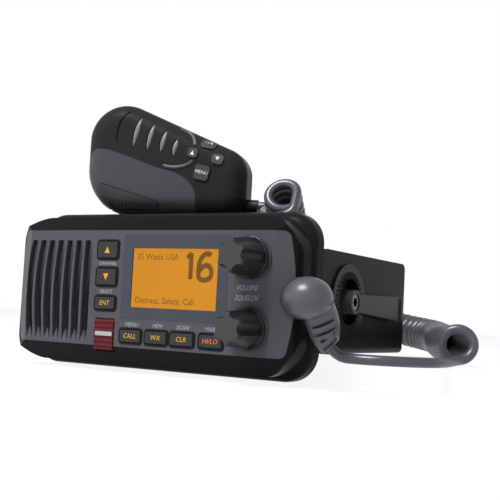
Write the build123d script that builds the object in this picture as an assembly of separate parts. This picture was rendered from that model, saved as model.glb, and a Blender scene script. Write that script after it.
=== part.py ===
"""VHF marine radio in its mounting bracket, with a hand microphone on a curly cord.

Every piece is drawn in the panel frame, in mm: X to the right, Y back from the face of the front
panel, Z up from the middle of the panel. write() moves it to the mounting frame, whose origin is
the middle of the four bracket holes, on the surface that the rubber pads stand on.
"""
import os
from math import cos, pi, radians, sin, tan

from build123d import *

# Clearances
FIT = 0.05  # radial, between a pin or shaft and its hole
PLAY = 0.25  # around a key or a cap in its opening
RUN = 0.3  # between pieces that run past or rest on each other
LAP = 1.0  # by how much a cutter passes the face that it cuts

# Front panel, a satin plate with sloping cheeks
FACE_W = 150.0
FACE_H = 58.8
CHEEK_W = 9.6
CHEEK_DROP = 5.6
BARREL = 3.2
PANEL_T = 3.0
PANEL_CORNER = 3.5
LEDGE = 1.4

# Bezel frame around the panel
BEZEL_SIDE = 86.0
BEZEL_TOP = 37.2
BEZEL_BOTTOM = -38.8
BEZEL_R = 19.0
BEZEL_D = 17.2
BEZEL_SIDE_Y = 9.5
BEZEL_TOP_Y = 8.5
BEZEL_WALL = 2.5
GASKET_T = 0.8
GASKET_INSET = 6.3
GASKET_W = 3.0

# Front housing behind the bezel, with the deck that carries the microphone
HOUSING_TOP = 40.7
HOUSING_BOTTOM = -41.2
HOUSING_D = 12.0
HOUSING_R = 15.0
HOUSING_WALL = 2.5
NOSE_R = 6.0
DECK_W = 60.0
DECK_D = 32.0
TOE_D = 10.0
TOE_BOTTOM = -36.0
DECK_EDGE_R = 3.0

# Die-cast chassis
CHASSIS_W = 150.0
CHASSIS_TOP = 25.0
CHASSIS_BOTTOM = -19.0
CHASSIS_D = 82.0
CHASSIS_WALL = 3.0
CHASSIS_R = 2.0
FIN_D = 16.0
FIN_T = 2.0
FIN_PITCH = 7.0
FIN_COUNT = 20
COVER_T = 1.5
POST_R = 4.0
POST_FRONT = 14.0
COVER_SCREW_R = 1.45
COVER_SCREW_L = 9.0
COVER_HEAD_R = 2.8
COVER_HEAD_H = 0.6
MAIN_BOARD_DROP = 14.0
MAIN_BOARD_GAP = 1.0

# Sockets on the back
ANTENNA_X = -38.5
POWER_X = 38.5
SOCKET_Z = (-10.0, 14.0)
SOCKET_W = 24.0
FLANGE_W = 20.0
FLANGE_T = 2.5
BARREL_R = 8.0
BARREL_BORE_R = 5.2
BARREL_L = 12.0
CONTACT_R = 2.2
INLET_W = 18.0
INLET_H = 14.0
INLET_L = 10.0
INLET_WALL = 2.0
INLET_PIN_R = 1.2
INLET_PIN_L = 5.5

# Tilt pivot, where the radio hangs in its bracket
PIVOT_Y = 65.5
PIVOT_Z = -0.7
BOSS_R = 9.0
BOSS_H = 2.3
BOSS_ROOT = 3.0
INSERT_R = 5.0
INSERT_L = 12.0
INSERT_FLOOR = 2.0
SCREW_R = 2.9

# Mounting bracket, bent from sheet
SHEET = 2.0
ARM_CLEAR = 6.0
ARM_FRONT = 36.0
ARM_REAR = 144.0
ARM_TOP = 24.4
BASE_FRONT = 50.0
HOLE_INSET = 12.0
BASE_REAR = 140.0
BASE_Z = -27.2
BEND_R = 1.0
ARM_SLOPE = 8.0
ARM_CORNER_R = 4.0
HOLE_SPACING_X = 100.0
HOLE_SPACING_Y = 60.0
HOLE_R = 2.6
PAD_T = 2.8
PAD_R = 8.0

# Toothed ring in each arm
RING_R = 19.5
RING_BORE_R = 13.6
RING_WALL = 1.5
RING_T = 1.2
RING_FLOOR = 2.0
RING_TEETH = 36
TOOTH_H = 0.6

# Clamp lever and its screw
LEVER_L = 64.0
LEVER_T = 3.1
LEVER_ROOT = 7.8
LEVER_TIP = 14.0
LEVER_DROP = 1.5
LEVER_CORNER_R = 1.2
LEVER_HUB_R = 6.2
LIP_W = 2.8
LIP_H = 1.0
LIP_INSET = 0.5
HEAD_R = 4.4
HEAD_H = 4.0
HEAD_SINK = 0.6
SOCKET_R = 2.6
SOCKET_DEPTH = 2.4

# Louvred loudspeaker grille
SLOT_COUNT = 7
SLOT_FIRST_X = -71.75
SLOT_PITCH = 6.1
SLOT_W = 3.5
SLOT_TOP = 24.2
SLOT_BOTTOM = -27.6
SLOT_RAMP = 5.5
SPEAKER_R = 21.0
SPEAKER_D = 14.0
SPEAKER_RIM = 2.0
CONE_CAP_R = 6.0
CONE_D = 4.0
MAGNET_R = 14.0
MAGNET_T = 6.0
CLOTH_T = 0.4

# Display
DISPLAY_X = (-11.3, 51.5)
DISPLAY_Z = (-15.2, 27.1)
VIEW_X = (-5.6, 45.2)
VIEW_Z = (-9.2, 20.4)
FRAME_T = 2.0
FRAME_R = 0.6
LENS_T = 1.0
REBATE = 0.8
LCD_T = 5.4
LCD_GAP = 1.0

# Keys
KEY_RISE = 1.0
KEY_TRAVEL = 0.8
KEY_LIP = 0.8
KEY_R = 0.8
KEY_CHAMFER = 0.35
STEM_INSET = 1.5
KEY_COLUMN_X = (-27.6, -15.2)
CHANNEL_UP_Z = (15.3, 23.4)
CHANNEL_DOWN_Z = (1.5, 9.6)
ENTER_Z = (-10.8, -4.8)
FUNCTION_Z = (-26.6, -20.8)
FUNCTION_X = ((-10.3, 2.2), (5.4, 18.0), (20.5, 33.6), (37.3, 50.0))
MAT_T = 1.2
BOARD_T = 1.6
BOARD_EDGE = 2.0

# Distress button under its flap
FLAP_X = (-26.9, -14.9)
FLAP_BOTTOM = -31.2
FLAP_T = 1.2
HINGE_Z = -17.0
HINGE_Y = 0.6
KNUCKLE_R = 1.3
HINGE_PIN_R = 0.6
HINGE_PIN_END = 2.0
FLAP_WALL = 1.0
POCKET_D = 2.2
NOTCH_R = 3.2
DISTRESS_W = 6.4
DISTRESS_RISE = 0.6

# Volume and squelch knobs
KNOB_X = 63.5
VOLUME_Z = 16.3
SQUELCH_Z = -16.7
KNOB_RIM_R = 10.9
KNOB_RIM_H = 1.2
KNOB_SKIRT_R = 10.3
KNOB_BACK_R = 9.6
KNOB_FRONT_R = 6.6
KNOB_H = 19.0
KNOB_SKIRT_H = 2.0
KNOB_EDGE = 1.2
KNOB_FLUTES = 6
FLUTE_R = 3.8
FLUTE_SET = 0.6
SHAFT_R = 3.0
SHAFT_L = 10.0
BUSH_R = 4.4
ENCODER_W = 12.0

# Microphone cord outlet at the right cheek
OUTLET = (86.0, 8.5, -1.2)
OUTLET_R = 9.8
OUTLET_BOSS_H = 7.0
OUTLET_BOSS_R = 5.6
COLLAR_T = 1.5
BOOT_STEM = 4.0
BALL = (94.0, 0.0, -1.2)
BALL_R = 11.4
NECK = [((95.4, 6.5, -5.0), (0.12, 0.5, -0.86), 7.9), ((96.2, 10.3, -11.5), (0.13, 0.46, -0.88), 7.8),
        ((97.1, 13.2, -17.5), (0.22, 0.42, -0.88), 7.0), ((98.6, 15.8, -23.0), (0.55, 0.38, -0.74), 5.0)]
BOOT_SLOT_COUNT = 4
BOOT_SLOT_FIRST = 1.1  # counted in stations of the neck, as is the pitch
BOOT_SLOT_PITCH = 0.55
BOOT_SLOT_W = 1.5
BOOT_SLOT_SIDE = (0.86, 0.51, 0)

# Hand microphone, standing on the deck on its long side
MIC_X = -15.0
MIC_Y = 48.0
MIC_YAW = 18.0
MIC_LEFT = -49.6
MIC_RIGHT = 41.0
MIC_H_LEFT = 72.0
MIC_H_RIGHT = 33.6
MIC_FOOT_LEFT_R = 26.0
MIC_FOOT_RIGHT_R = 12.0
MIC_TOP_LEFT_R = 20.4
MIC_TOP_RIGHT_R = 14.5
MIC_T = 32.0
MIC_EDGE_R = 11.0
MIC_WALL = 2.5
RELIEF_R = 3.5
RELIEF_Z = 7.9
RELIEF_L = 5.4
RELIEF_ROOT = 2.0
MIC_SCREW_R = 1.2
MIC_HEAD_R = 2.4
MIC_SCREW_PLACES = [(-36, 50), (-34, 22), (28, 24)]
MIC_HEAD_H = 1.2
MIC_BOARD_Y = -6.5
MIC_BOARD_T = 1.2
MIC_BOARD_INSET = 1.5
MIC_GRIP_BORDER = [(-47.8, 28.7), (-42.4, 35.5), (-31.7, 34.0), (-19.8, 30.2), (-7.9, 26.0),
                   (3.7, 22.9), (10.7, 18.7), (15.2, 10.5)]
MIC_PTT = [(-40, 3), (-6, 3), (-6, 7.5), (-40, 17)]
MIC_PTT_R = 1.4
MIC_PTT_BACK = -8.0
MIC_PTT_RISE = 0.8
MIC_KEY_RISE = 0.9
MIC_KEY_R = 1.8
MIC_KEY_LEAN = -11.0
MIC_KEYS = {"mic_channel_key": ((20.4, 39.6), (8.0, 5.4)), "mic_up_key": ((12.6, 34.0), (5.6, 5.2)),
            "mic_down_key": ((26.4, 30.8), (6.4, 5.6)), "mic_menu_key": ((18.2, 23.4), (8.2, 8.2))}
SCOOP_W = 3.2
MIC_SCOOPS = [((-17.9, 54.3), (-21.9, 36.3)), ((-10.4, 50.5), (-13.7, 35.0)),
              ((-3.3, 46.7), (-6.0, 33.7)), ((3.2, 41.8), (1.3, 31.9))]
BLANK_W = 6.0
BLANK_D = 0.8
MIC_BLANK = ((-25.0, 57.1), (-30.7, 38.6))
CAPSULE_R = 4.8
CAPSULE_L = 4.0
CAPSULE_PLACE = (-8.0, 42.0)
STUD_R = 4.0
STUD_L = 4.0
STUD_HEAD_R = 7.0
STUD_HEAD_H = 2.0
STUD_PLACE = (-8.0, 32.0)

# Curly cord
CORD_D = 4.9
COIL_D = 20.0
LEAD_POINTS = [NECK[-1][0], (101.8, 18.0, -27.3), (110, 18.2, -27.5), (121, 19.5, -27.5),
               (132.5, 27, -27.5), (140.5, 39.5, -27.5), (144, 54, -27.3), (143.5, 67, -24.5)]
COIL_POINTS = [(142.5, 66, -18.8), (130, 91, -19.6), (116.5, 119, -19.2), (104, 150, -18),
               (90, 176, -16.5), (64, 190, -13.5), (34, 190, -6), (10, 177, 10), (3, 152, 31),
               (13, 128, 36.4), (28, 104, 35.8), (41, 84, 35.8), (49, 62, 37.2), (56.2, 39.5, 52.8)]
TAIL_POINTS = [(29.6, 62.5, 49.0), (38.5, 65.2, 49.2), (39.3, 49.5, 44.5), (46, 38, 40.5),
               (57, 33, 39.3), (65.5, 34.5, 41.8), (64.5, 38.6, 47.7), (63.4, 41.8, 52.8)]

HOUSING_Y = BEZEL_D + GASKET_T
WALL_Y = HOUSING_Y + HOUSING_D
CHEEK_X = FACE_W / 2 + CHEEK_W
CHASSIS_REAR = WALL_Y + CHASSIS_D
FINS_BACK = CHASSIS_REAR + FIN_D
ARM_IN = CHASSIS_W / 2 + ARM_CLEAR
ARM_OUT = ARM_IN + SHEET
BOARD_Y = PANEL_T + RUN + LCD_T
HOLES_Y = BASE_FRONT + HOLE_INSET + HOLE_SPACING_Y / 2
MOUNT_Z = BASE_Z - PAD_T


def prism_x(sketch, x0, x1):
    """A sketch of Y and Z, made solid between two places along X."""
    return extrude(Plane((x0, 0, 0), (0, 1, 0), (1, 0, 0)) * sketch, x1 - x0, dir=(1, 0, 0))


def prism_y(sketch, y0, y1):
    """A sketch of X and Z, made solid between two depths."""
    return extrude(Plane((0, y0, 0), (1, 0, 0), (0, -1, 0)) * sketch, y1 - y0, dir=(0, 1, 0))


def prism_z(sketch, z0, z1):
    """A sketch of X and Y, made solid between two heights."""
    return extrude(Plane.XY.offset(z0) * sketch, z1 - z0, dir=(0, 0, 1))


def block(x, y, z, r=0.0):
    """A block between pairs of limits, with its edges along Y rounded."""
    size = (x[1] - x[0], z[1] - z[0])
    outline = RectangleRounded(*size, r) if r else Rectangle(*size)
    return prism_y(Pos((x[0] + x[1]) / 2, (z[0] + z[1]) / 2) * outline, *y)


def grown(limits, by):
    return (limits[0] - by, limits[1] + by)


def rod_y(x, z, r, y0, y1):
    return prism_y(Pos(x, z) * Circle(r), y0, y1)


def rod_x(y, z, r, x0, x1):
    return prism_x(Pos(y, z) * Circle(r), x0, x1)


def mirrored(shape):
    return mirror(shape, Plane.YZ)


# ---------------------------------------------------------------- front panel and bezel

def front_form():
    """The front end of the radio as one solid: a rounded block with four sloping sides."""
    middle = (BEZEL_TOP + BEZEL_BOTTOM) / 2
    outline = Pos(0, middle) * RectangleRounded(2 * BEZEL_SIDE, BEZEL_TOP - BEZEL_BOTTOM, BEZEL_R)
    plan = Polygon((-FACE_W / 2, 0), (FACE_W / 2, 0), (CHEEK_X, CHEEK_DROP),
                   (BEZEL_SIDE, BEZEL_SIDE_Y), (BEZEL_SIDE, BEZEL_D), (-BEZEL_SIDE, BEZEL_D),
                   (-BEZEL_SIDE, BEZEL_SIDE_Y), (-CHEEK_X, CHEEK_DROP))
    side = Polygon((0, -FACE_H / 2), (BEZEL_SIDE_Y, BEZEL_BOTTOM), (BEZEL_D, BEZEL_BOTTOM),
                   (BEZEL_D, BEZEL_TOP), (BEZEL_TOP_Y, BEZEL_TOP), (0, FACE_H / 2))
    form = prism_y(outline, 0, BEZEL_D) & prism_z(plan, BEZEL_BOTTOM - LAP, BEZEL_TOP + LAP)
    return form & prism_x(side, -BEZEL_SIDE - LAP, BEZEL_SIDE + LAP)


def panel_outline(inset=0.0):
    """The panel's outline: flat top and bottom, bulging sides and rounded corners."""
    x, z = CHEEK_X - BARREL - inset, FACE_H / 2 - inset
    face = make_face([Line((-x, z), (x, z)), ThreePointArc((x, z), (x + BARREL, 0), (x, -z)),
                      Line((x, -z), (-x, -z)), ThreePointArc((-x, -z), (-x - BARREL, 0), (-x, z))])
    return fillet(face.vertices(), PANEL_CORNER)


def outlet_plane(offset=0.0):
    """The plane of the cord outlet, square to the corner of the bezel."""
    return Plane(OUTLET, z_dir=(1, -1, 0)).offset(offset)


def outlet_rod(r, start, end):
    """A rod along the axis of the cord outlet, between two distances from the bezel."""
    return extrude(outlet_plane(start) * Circle(r), end - start)


def grille_slots():
    """Seven slots that follow the left edge of the panel and straighten towards the display."""
    slots = []
    for i in range(SLOT_COUNT):
        x = SLOT_FIRST_X + i * SLOT_PITCH
        bow = BARREL * (1 - i / SLOT_COUNT)
        left, right, middle = x - SLOT_W / 2, x + SLOT_W / 2, (SLOT_TOP + SLOT_BOTTOM) / 2
        outline = make_face([
            Line((left, SLOT_TOP), (right, SLOT_TOP)),
            ThreePointArc((right, SLOT_TOP), (right - bow, middle), (right, SLOT_BOTTOM)),
            Line((right, SLOT_BOTTOM), (left, SLOT_BOTTOM)),
            ThreePointArc((left, SLOT_BOTTOM), (left - bow, middle), (left, SLOT_TOP))])
        slots.append(prism_y(outline, -LAP, BEZEL_D))
    slope = SLOT_RAMP / PANEL_T
    ramp = Polygon((-LAP, SLOT_BOTTOM - slope * LAP), (BEZEL_D, SLOT_BOTTOM + slope * BEZEL_D),
                   (BEZEL_D, SLOT_TOP + LAP), (-LAP, SLOT_TOP + LAP))
    return Part() + slots & prism_x(ramp, -BEZEL_SIDE, 0)


def front_panel():
    form = front_form()
    plate = (form - Pos(0, PANEL_T, 0) * form) & prism_y(panel_outline(), -LAP, BEZEL_D)
    plate += [rod_y(KNOB_X, z, KNOB_RIM_R, -KNOB_RIM_H, 0) for z in (VOLUME_Z, SQUELCH_Z)]
    through = (-2 * LAP, PANEL_T + LAP)
    plate -= grille_slots()
    plate -= block(grown(DISPLAY_X, FIT), (-LAP, FRAME_T), grown(DISPLAY_Z, FIT))
    plate -= block(grown(DISPLAY_X, -LEDGE), through, grown(DISPLAY_Z, -LEDGE))
    for x, z in key_places().values():
        plate -= block(grown(x, PLAY), through, grown(z, PLAY), KEY_R)
    plate -= [rod_y(KNOB_X, z, BUSH_R + FIT, *through) for z in (VOLUME_Z, SQUELCH_Z)]
    plate -= block(grown(FLAP_X, RUN), (-LAP, POCKET_D), (FLAP_BOTTOM, HINGE_Z + KNUCKLE_R + RUN))
    plate -= block(distress_x(PLAY), through, distress_z(PLAY), KEY_R)
    plate -= rod_x(HINGE_Y, HINGE_Z, HINGE_PIN_R, *grown(FLAP_X, HINGE_PIN_END))
    return plate - outlet_rod(OUTLET_R, -BEZEL_D, BEZEL_D)


def bezel():
    form = front_form()
    skin = (form - Pos(0, PANEL_T, 0) * form) & prism_y(panel_outline(), -LAP, BEZEL_D)
    frame = form - skin - prism_y(panel_outline(LEDGE), -LAP, BEZEL_D + LAP)
    room = block(grown((-BEZEL_SIDE, BEZEL_SIDE), -BEZEL_WALL), (BEZEL_TOP_Y, BEZEL_D + LAP),
                 grown((BEZEL_BOTTOM, BEZEL_TOP), -BEZEL_WALL), BEZEL_R - BEZEL_WALL)
    frame -= room
    frame += outlet_plane(-OUTLET_BOSS_H) * Cone(OUTLET_BOSS_R, OUTLET_R, OUTLET_BOSS_H,
                                                 align=(Align.CENTER, Align.CENTER, Align.MIN))
    frame -= rod_x(0, FLAP_BOTTOM - 1, NOTCH_R, *grown(FLAP_X, RUN))
    frame -= outlet_rod(OUTLET_R, 0, OUTLET_BOSS_H)
    return frame - outlet_rod(CORD_D / 2 + FIT, -BEZEL_D, LAP)


def housing_ring(inset, y):
    """A rounded block inside the housing's outline, between two depths."""
    return block(grown((-BEZEL_SIDE, BEZEL_SIDE), -inset), y,
                 grown((HOUSING_BOTTOM, HOUSING_TOP), -inset), HOUSING_R - inset)


def housing_gasket():
    ring = housing_ring(GASKET_INSET, (BEZEL_D, HOUSING_Y))
    return ring - housing_ring(GASKET_INSET + GASKET_W, (BEZEL_D - LAP, HOUSING_Y + LAP))


def front_housing():
    """The stepped housing: a rounded frame, the deck over the chassis and a sloping toe."""
    frame = housing_ring(0, (HOUSING_Y, WALL_Y))
    frame = fillet(frame.faces().sort_by(Axis.Y)[0].edges(), NOSE_R)
    deck = block((-DECK_W / 2, DECK_W / 2), (WALL_Y - LAP, WALL_Y + DECK_D),
                 (CHASSIS_TOP, HOUSING_TOP))
    deck = fillet(deck.faces().sort_by(Axis.Y)[-1].edges().sort_by(Axis.Z)[-1], DECK_EDGE_R)
    toe = prism_x(Polygon((WALL_Y - LAP, TOE_BOTTOM), (WALL_Y, TOE_BOTTOM),
                          (WALL_Y + TOE_D, CHASSIS_BOTTOM), (WALL_Y - LAP, CHASSIS_BOTTOM)),
                  -CHASSIS_W / 2, CHASSIS_W / 2)
    room = housing_ring(NOSE_R + HOUSING_WALL, (HOUSING_Y - LAP, WALL_Y - HOUSING_WALL))
    attic = block(grown((-DECK_W / 2, DECK_W / 2), -HOUSING_WALL),
                  (WALL_Y - HOUSING_WALL - LAP, WALL_Y + DECK_D - HOUSING_WALL),
                  (CHASSIS_TOP + HOUSING_WALL, HOUSING_TOP - HOUSING_WALL))
    doorway = block(grown((-CHASSIS_W / 2, CHASSIS_W / 2), -CHASSIS_WALL),
                    (HOUSING_Y, WALL_Y + LAP), grown((CHASSIS_BOTTOM, CHASSIS_TOP), -CHASSIS_WALL))
    return frame + deck + toe - room - attic - doorway


# ---------------------------------------------------------------- display, keys and boards

def display_frame():
    plate = block(DISPLAY_X, (0, FRAME_T), DISPLAY_Z, FRAME_R)
    plate -= block(grown(VIEW_X, FIT), (-LAP, LENS_T + REBATE / 2), grown(VIEW_Z, FIT))
    return plate - block(grown(VIEW_X, -REBATE), (-LAP, FRAME_T + LAP), grown(VIEW_Z, -REBATE))


def display_lens():
    return block(VIEW_X, (REBATE / 2, LENS_T + REBATE / 2), VIEW_Z)


def lcd_module():
    inset = -LEDGE - LCD_GAP
    body = block(grown(DISPLAY_X, inset), (PANEL_T + RUN, BOARD_Y), grown(DISPLAY_Z, inset))
    return body + block(grown(VIEW_X, -REBATE - FIT), (FRAME_T, PANEL_T + RUN + LAP),
                        grown(VIEW_Z, -REBATE - FIT))


def key_places():
    """The X and Z limits of each key's cap, by node name."""
    places = {"channel_up_key": (KEY_COLUMN_X, CHANNEL_UP_Z),
              "channel_down_key": (KEY_COLUMN_X, CHANNEL_DOWN_Z),
              "enter_key": (KEY_COLUMN_X, ENTER_Z)}
    for i, x in enumerate(FUNCTION_X):
        places[f"function_key_{i + 1}"] = (x, FUNCTION_Z)
    return places


def key_stem_end():
    """Where a key's stem ends, so that the key can travel before it meets the mat."""
    return BOARD_Y - MAT_T - KEY_TRAVEL - RUN / 3


def pressed_key(x, z, rise):
    """A moulded key: cap, lip behind the panel and stem over the rubber mat."""
    lip_y = PANEL_T + RUN
    cap = block(x, (-rise, lip_y), z, KEY_R)
    cap = chamfer(cap.faces().sort_by(Axis.Y)[0].edges(), KEY_CHAMFER)
    lip = block(grown(x, KEY_LIP), (lip_y, lip_y + KEY_LIP), grown(z, KEY_LIP))
    stem_end = key_stem_end()
    stem = block(grown(x, -STEM_INSET), (lip_y, stem_end), grown(z, -STEM_INSET))
    return cap + lip + stem


def distress_x(margin=0.0):
    middle = (FLAP_X[0] + FLAP_X[1]) / 2
    return grown((middle, middle), DISTRESS_W / 2 + margin)


def distress_z(margin=0.0):
    middle = (HINGE_Z - KNUCKLE_R - FACE_H / 2) / 2
    return grown((middle, middle), DISTRESS_W / 2 + margin)


def distress_button():
    lip_y = PANEL_T + RUN
    lip = block(distress_x(KEY_LIP), (lip_y, lip_y + KEY_LIP), distress_z(KEY_LIP))
    stem = block(distress_x(-STEM_INSET), (lip_y, key_stem_end()), distress_z(-STEM_INSET))
    cap = block(distress_x(), (POCKET_D - DISTRESS_RISE, lip_y), distress_z(), KEY_R)
    return cap + lip + stem


def key_mat():
    """Rubber mat on the circuit board under all the keys."""
    foot = LEDGE - FACE_H / 2
    depth = (BOARD_Y - MAT_T, BOARD_Y)
    column = block(grown(KEY_COLUMN_X, KEY_LIP), depth, (foot, CHANNEL_UP_Z[1]))
    row = block((KEY_COLUMN_X[0], FUNCTION_X[-1][1]), depth,
                (foot, DISPLAY_Z[0] + LEDGE + LCD_GAP - PLAY))
    return column + row


def panel_board():
    z = FACE_H / 2 - LEDGE - RUN
    return block((KEY_COLUMN_X[0] - BOARD_EDGE, FACE_W / 2), (BOARD_Y, BOARD_Y + BOARD_T), (-z, z))


def distress_flap():
    """The hinged flap: a thin plate with side walls and a knuckle along its top."""
    front, back = HINGE_Y - KNUCKLE_R, HINGE_Y - KNUCKLE_R + FLAP_T
    foot = HINGE_Z - (KNUCKLE_R ** 2 - (back - HINGE_Y) ** 2) ** 0.5
    profile = make_face([Polyline((back, foot), (back, FLAP_BOTTOM), (front, FLAP_BOTTOM),
                                  (front, HINGE_Z)),
                         ThreePointArc((front, HINGE_Z), (HINGE_Y + KNUCKLE_R, HINGE_Z),
                                       (back, foot))])
    flap = prism_x(profile, *FLAP_X)
    for x in (FLAP_X[0], FLAP_X[1] - FLAP_WALL):
        flap += block((x, x + FLAP_WALL), (back - FIT, POCKET_D - RUN),
                      (-FACE_H / 2, HINGE_Z - KNUCKLE_R - RUN))
    return flap - rod_x(HINGE_Y, HINGE_Z, HINGE_PIN_R + FIT, *grown(FLAP_X, LAP))


def hinge_pin():
    return rod_x(HINGE_Y, HINGE_Z, HINGE_PIN_R, *grown(FLAP_X, HINGE_PIN_END))


# ---------------------------------------------------------------- knobs

def knob(z):
    """A tapering knob with six scooped flutes over a round skirt, bored for its shaft."""
    back = -KNOB_RIM_H - RUN
    waist = back - KNOB_SKIRT_H
    profile = Polyline((0, back), (KNOB_SKIRT_R, back), (KNOB_SKIRT_R, waist + KNOB_SKIRT_H / 4),
                       (KNOB_BACK_R, waist), (KNOB_FRONT_R + KNOB_EDGE, KNOB_EDGE - KNOB_H),
                       (KNOB_FRONT_R, -KNOB_H), (0, -KNOB_H), (0, back))
    body = revolve(make_face(profile), Axis.Y)
    lean = (KNOB_BACK_R - KNOB_FRONT_R) / (waist + KNOB_H)
    away = (KNOB_BACK_R + KNOB_FRONT_R) / 2 + FLUTE_R * FLUTE_SET
    flute = Pos(0, waist - KNOB_H / 2, away) * (Rot(lean * 180 / pi, 0, 0)
                                                * Cylinder(FLUTE_R, KNOB_H, rotation=(90, 0, 0)))
    body -= [Rot(0, (i + 0.5) * 360 / KNOB_FLUTES, 0) * flute for i in range(KNOB_FLUTES)]
    body -= rod_y(0, 0, SHAFT_R + FIT, back - SHAFT_L, back + LAP)
    return Pos(KNOB_X, 0, z) * body


def encoder(z):
    """The rotary control behind a knob: body on the board, threaded bush and shaft."""
    half = ENCODER_W / 2
    body = block((KNOB_X - half, KNOB_X + half), (PANEL_T, BOARD_Y), (z - half, z + half))
    bush = rod_y(KNOB_X, z, BUSH_R, -KNOB_RIM_H, PANEL_T + LAP)
    shaft = rod_y(KNOB_X, z, SHAFT_R, -KNOB_RIM_H - SHAFT_L, PANEL_T)
    return body + bush + shaft


# ---------------------------------------------------------------- loudspeaker

def speaker_middle():
    return SLOT_FIRST_X + (SLOT_COUNT - 1) * SLOT_PITCH / 2


def speaker_cloth():
    x = speaker_middle()
    half = SLOT_COUNT * SLOT_PITCH / 2
    z = FACE_H / 2 - LEDGE - RUN
    return block((x - half, x + half), (PANEL_T, PANEL_T + CLOTH_T), (-z, z))


def loudspeaker():
    """Rim, cone basket and magnet, turned about the speaker's own axis."""
    y0 = PANEL_T + CLOTH_T
    rim = SPEAKER_R - SPEAKER_RIM
    profile = Polyline((0, y0 + CONE_D), (CONE_CAP_R, y0 + CONE_D),
                       (rim - SPEAKER_RIM, y0 + SPEAKER_RIM / 2), (rim, y0), (SPEAKER_R, y0),
                       (SPEAKER_R, y0 + SPEAKER_RIM), (rim, y0 + SPEAKER_RIM),
                       (MAGNET_R, y0 + SPEAKER_D - MAGNET_T), (MAGNET_R, y0 + SPEAKER_D),
                       (0, y0 + SPEAKER_D), (0, y0 + CONE_D))
    return Pos(speaker_middle(), 0, 0) * revolve(make_face(profile), Axis.Y)


# ---------------------------------------------------------------- chassis

def chassis():
    """Open-bottomed die casting with vertical cooling fins, pivot bosses and cover posts."""
    half = CHASSIS_W / 2
    body = block((-half, half), (WALL_Y, CHASSIS_REAR), (CHASSIS_BOTTOM, CHASSIS_TOP))
    body = fillet(body.edges().filter_by(Axis.Y).sort_by(Axis.Z)[-2:], CHASSIS_R)
    body -= block(grown((-half, half), -CHASSIS_WALL), (WALL_Y - LAP, CHASSIS_REAR - CHASSIS_WALL),
                  (CHASSIS_BOTTOM - LAP, CHASSIS_TOP - CHASSIS_WALL))
    first = -(FIN_COUNT - 1) * FIN_PITCH / 2
    for i in range(FIN_COUNT):
        x = first + i * FIN_PITCH
        body += block((x - FIN_T / 2, x + FIN_T / 2), (CHASSIS_REAR, FINS_BACK),
                      (CHASSIS_BOTTOM, CHASSIS_TOP))
    body += block(socket_pad(ANTENNA_X), (CHASSIS_REAR, FINS_BACK), SOCKET_Z)
    body += block(socket_pad(POWER_X), (CHASSIS_REAR, FINS_BACK), SOCKET_Z)
    for side in (-1, 1):
        boss = rod_x(PIVOT_Y, PIVOT_Z, BOSS_R, half - CHASSIS_WALL - BOSS_ROOT, half + BOSS_H)
        bore = rod_x(PIVOT_Y, PIVOT_Z, INSERT_R, half - INSERT_L, half + BOSS_H + LAP)
        body += boss if side > 0 else mirrored(boss)
        body -= bore if side > 0 else mirrored(bore)
    for x, y in cover_screw_places():
        post = prism_z(Pos(x, y) * Circle(POST_R), CHASSIS_BOTTOM + COVER_T, CHASSIS_TOP - CHASSIS_WALL)
        body += post - prism_z(Pos(x, y) * Circle(COVER_SCREW_R + FIT), CHASSIS_BOTTOM,
                               CHASSIS_BOTTOM + COVER_SCREW_L + LAP)
    return body


def socket_pad(x):
    return grown((x, x), SOCKET_W / 2)


def cover_screw_places():
    x = CHASSIS_W / 2 - CHASSIS_WALL - POST_R
    rear = CHASSIS_REAR - CHASSIS_WALL - POST_R
    return [(sx * x, y) for sx in (-1, 1) for y in (WALL_Y + POST_FRONT, rear)]


def bottom_cover():
    half = CHASSIS_W / 2 - CHASSIS_WALL - FIT
    plate = block((-half, half), (WALL_Y + TOE_D + RUN, CHASSIS_REAR - CHASSIS_WALL - FIT),
                  (CHASSIS_BOTTOM, CHASSIS_BOTTOM + COVER_T))
    return plate - [prism_z(Pos(x, y) * Circle(COVER_SCREW_R + 2 * FIT), CHASSIS_BOTTOM - LAP,
                            CHASSIS_BOTTOM + COVER_T + LAP) for x, y in cover_screw_places()]


def cover_screws():
    return [prism_z(Pos(x, y) * Circle(COVER_HEAD_R), CHASSIS_BOTTOM - COVER_HEAD_H, CHASSIS_BOTTOM)
            + prism_z(Pos(x, y) * Circle(COVER_SCREW_R), CHASSIS_BOTTOM,
                      CHASSIS_BOTTOM + COVER_SCREW_L) for x, y in cover_screw_places()]


def main_board():
    half = CHASSIS_W / 2 - CHASSIS_WALL - MAIN_BOARD_GAP
    z = CHASSIS_TOP - CHASSIS_WALL - MAIN_BOARD_DROP
    rear = CHASSIS_REAR - CHASSIS_WALL - MAIN_BOARD_GAP
    through = (z - LAP, z + BOARD_T + LAP)
    plate = block((-half, half), (WALL_Y + MAIN_BOARD_GAP, rear), (z, z + BOARD_T))
    for x, y in cover_screw_places():
        plate -= prism_z(Pos(x, y) * Circle(POST_R + MAIN_BOARD_GAP / 2), *through)
    notch = block((CHASSIS_W / 2 - INSERT_L - MAIN_BOARD_GAP, half + LAP),
                  grown((PIVOT_Y, PIVOT_Y), BOSS_R + MAIN_BOARD_GAP), through)
    plate -= [notch, mirrored(notch)]
    return plate


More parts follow.
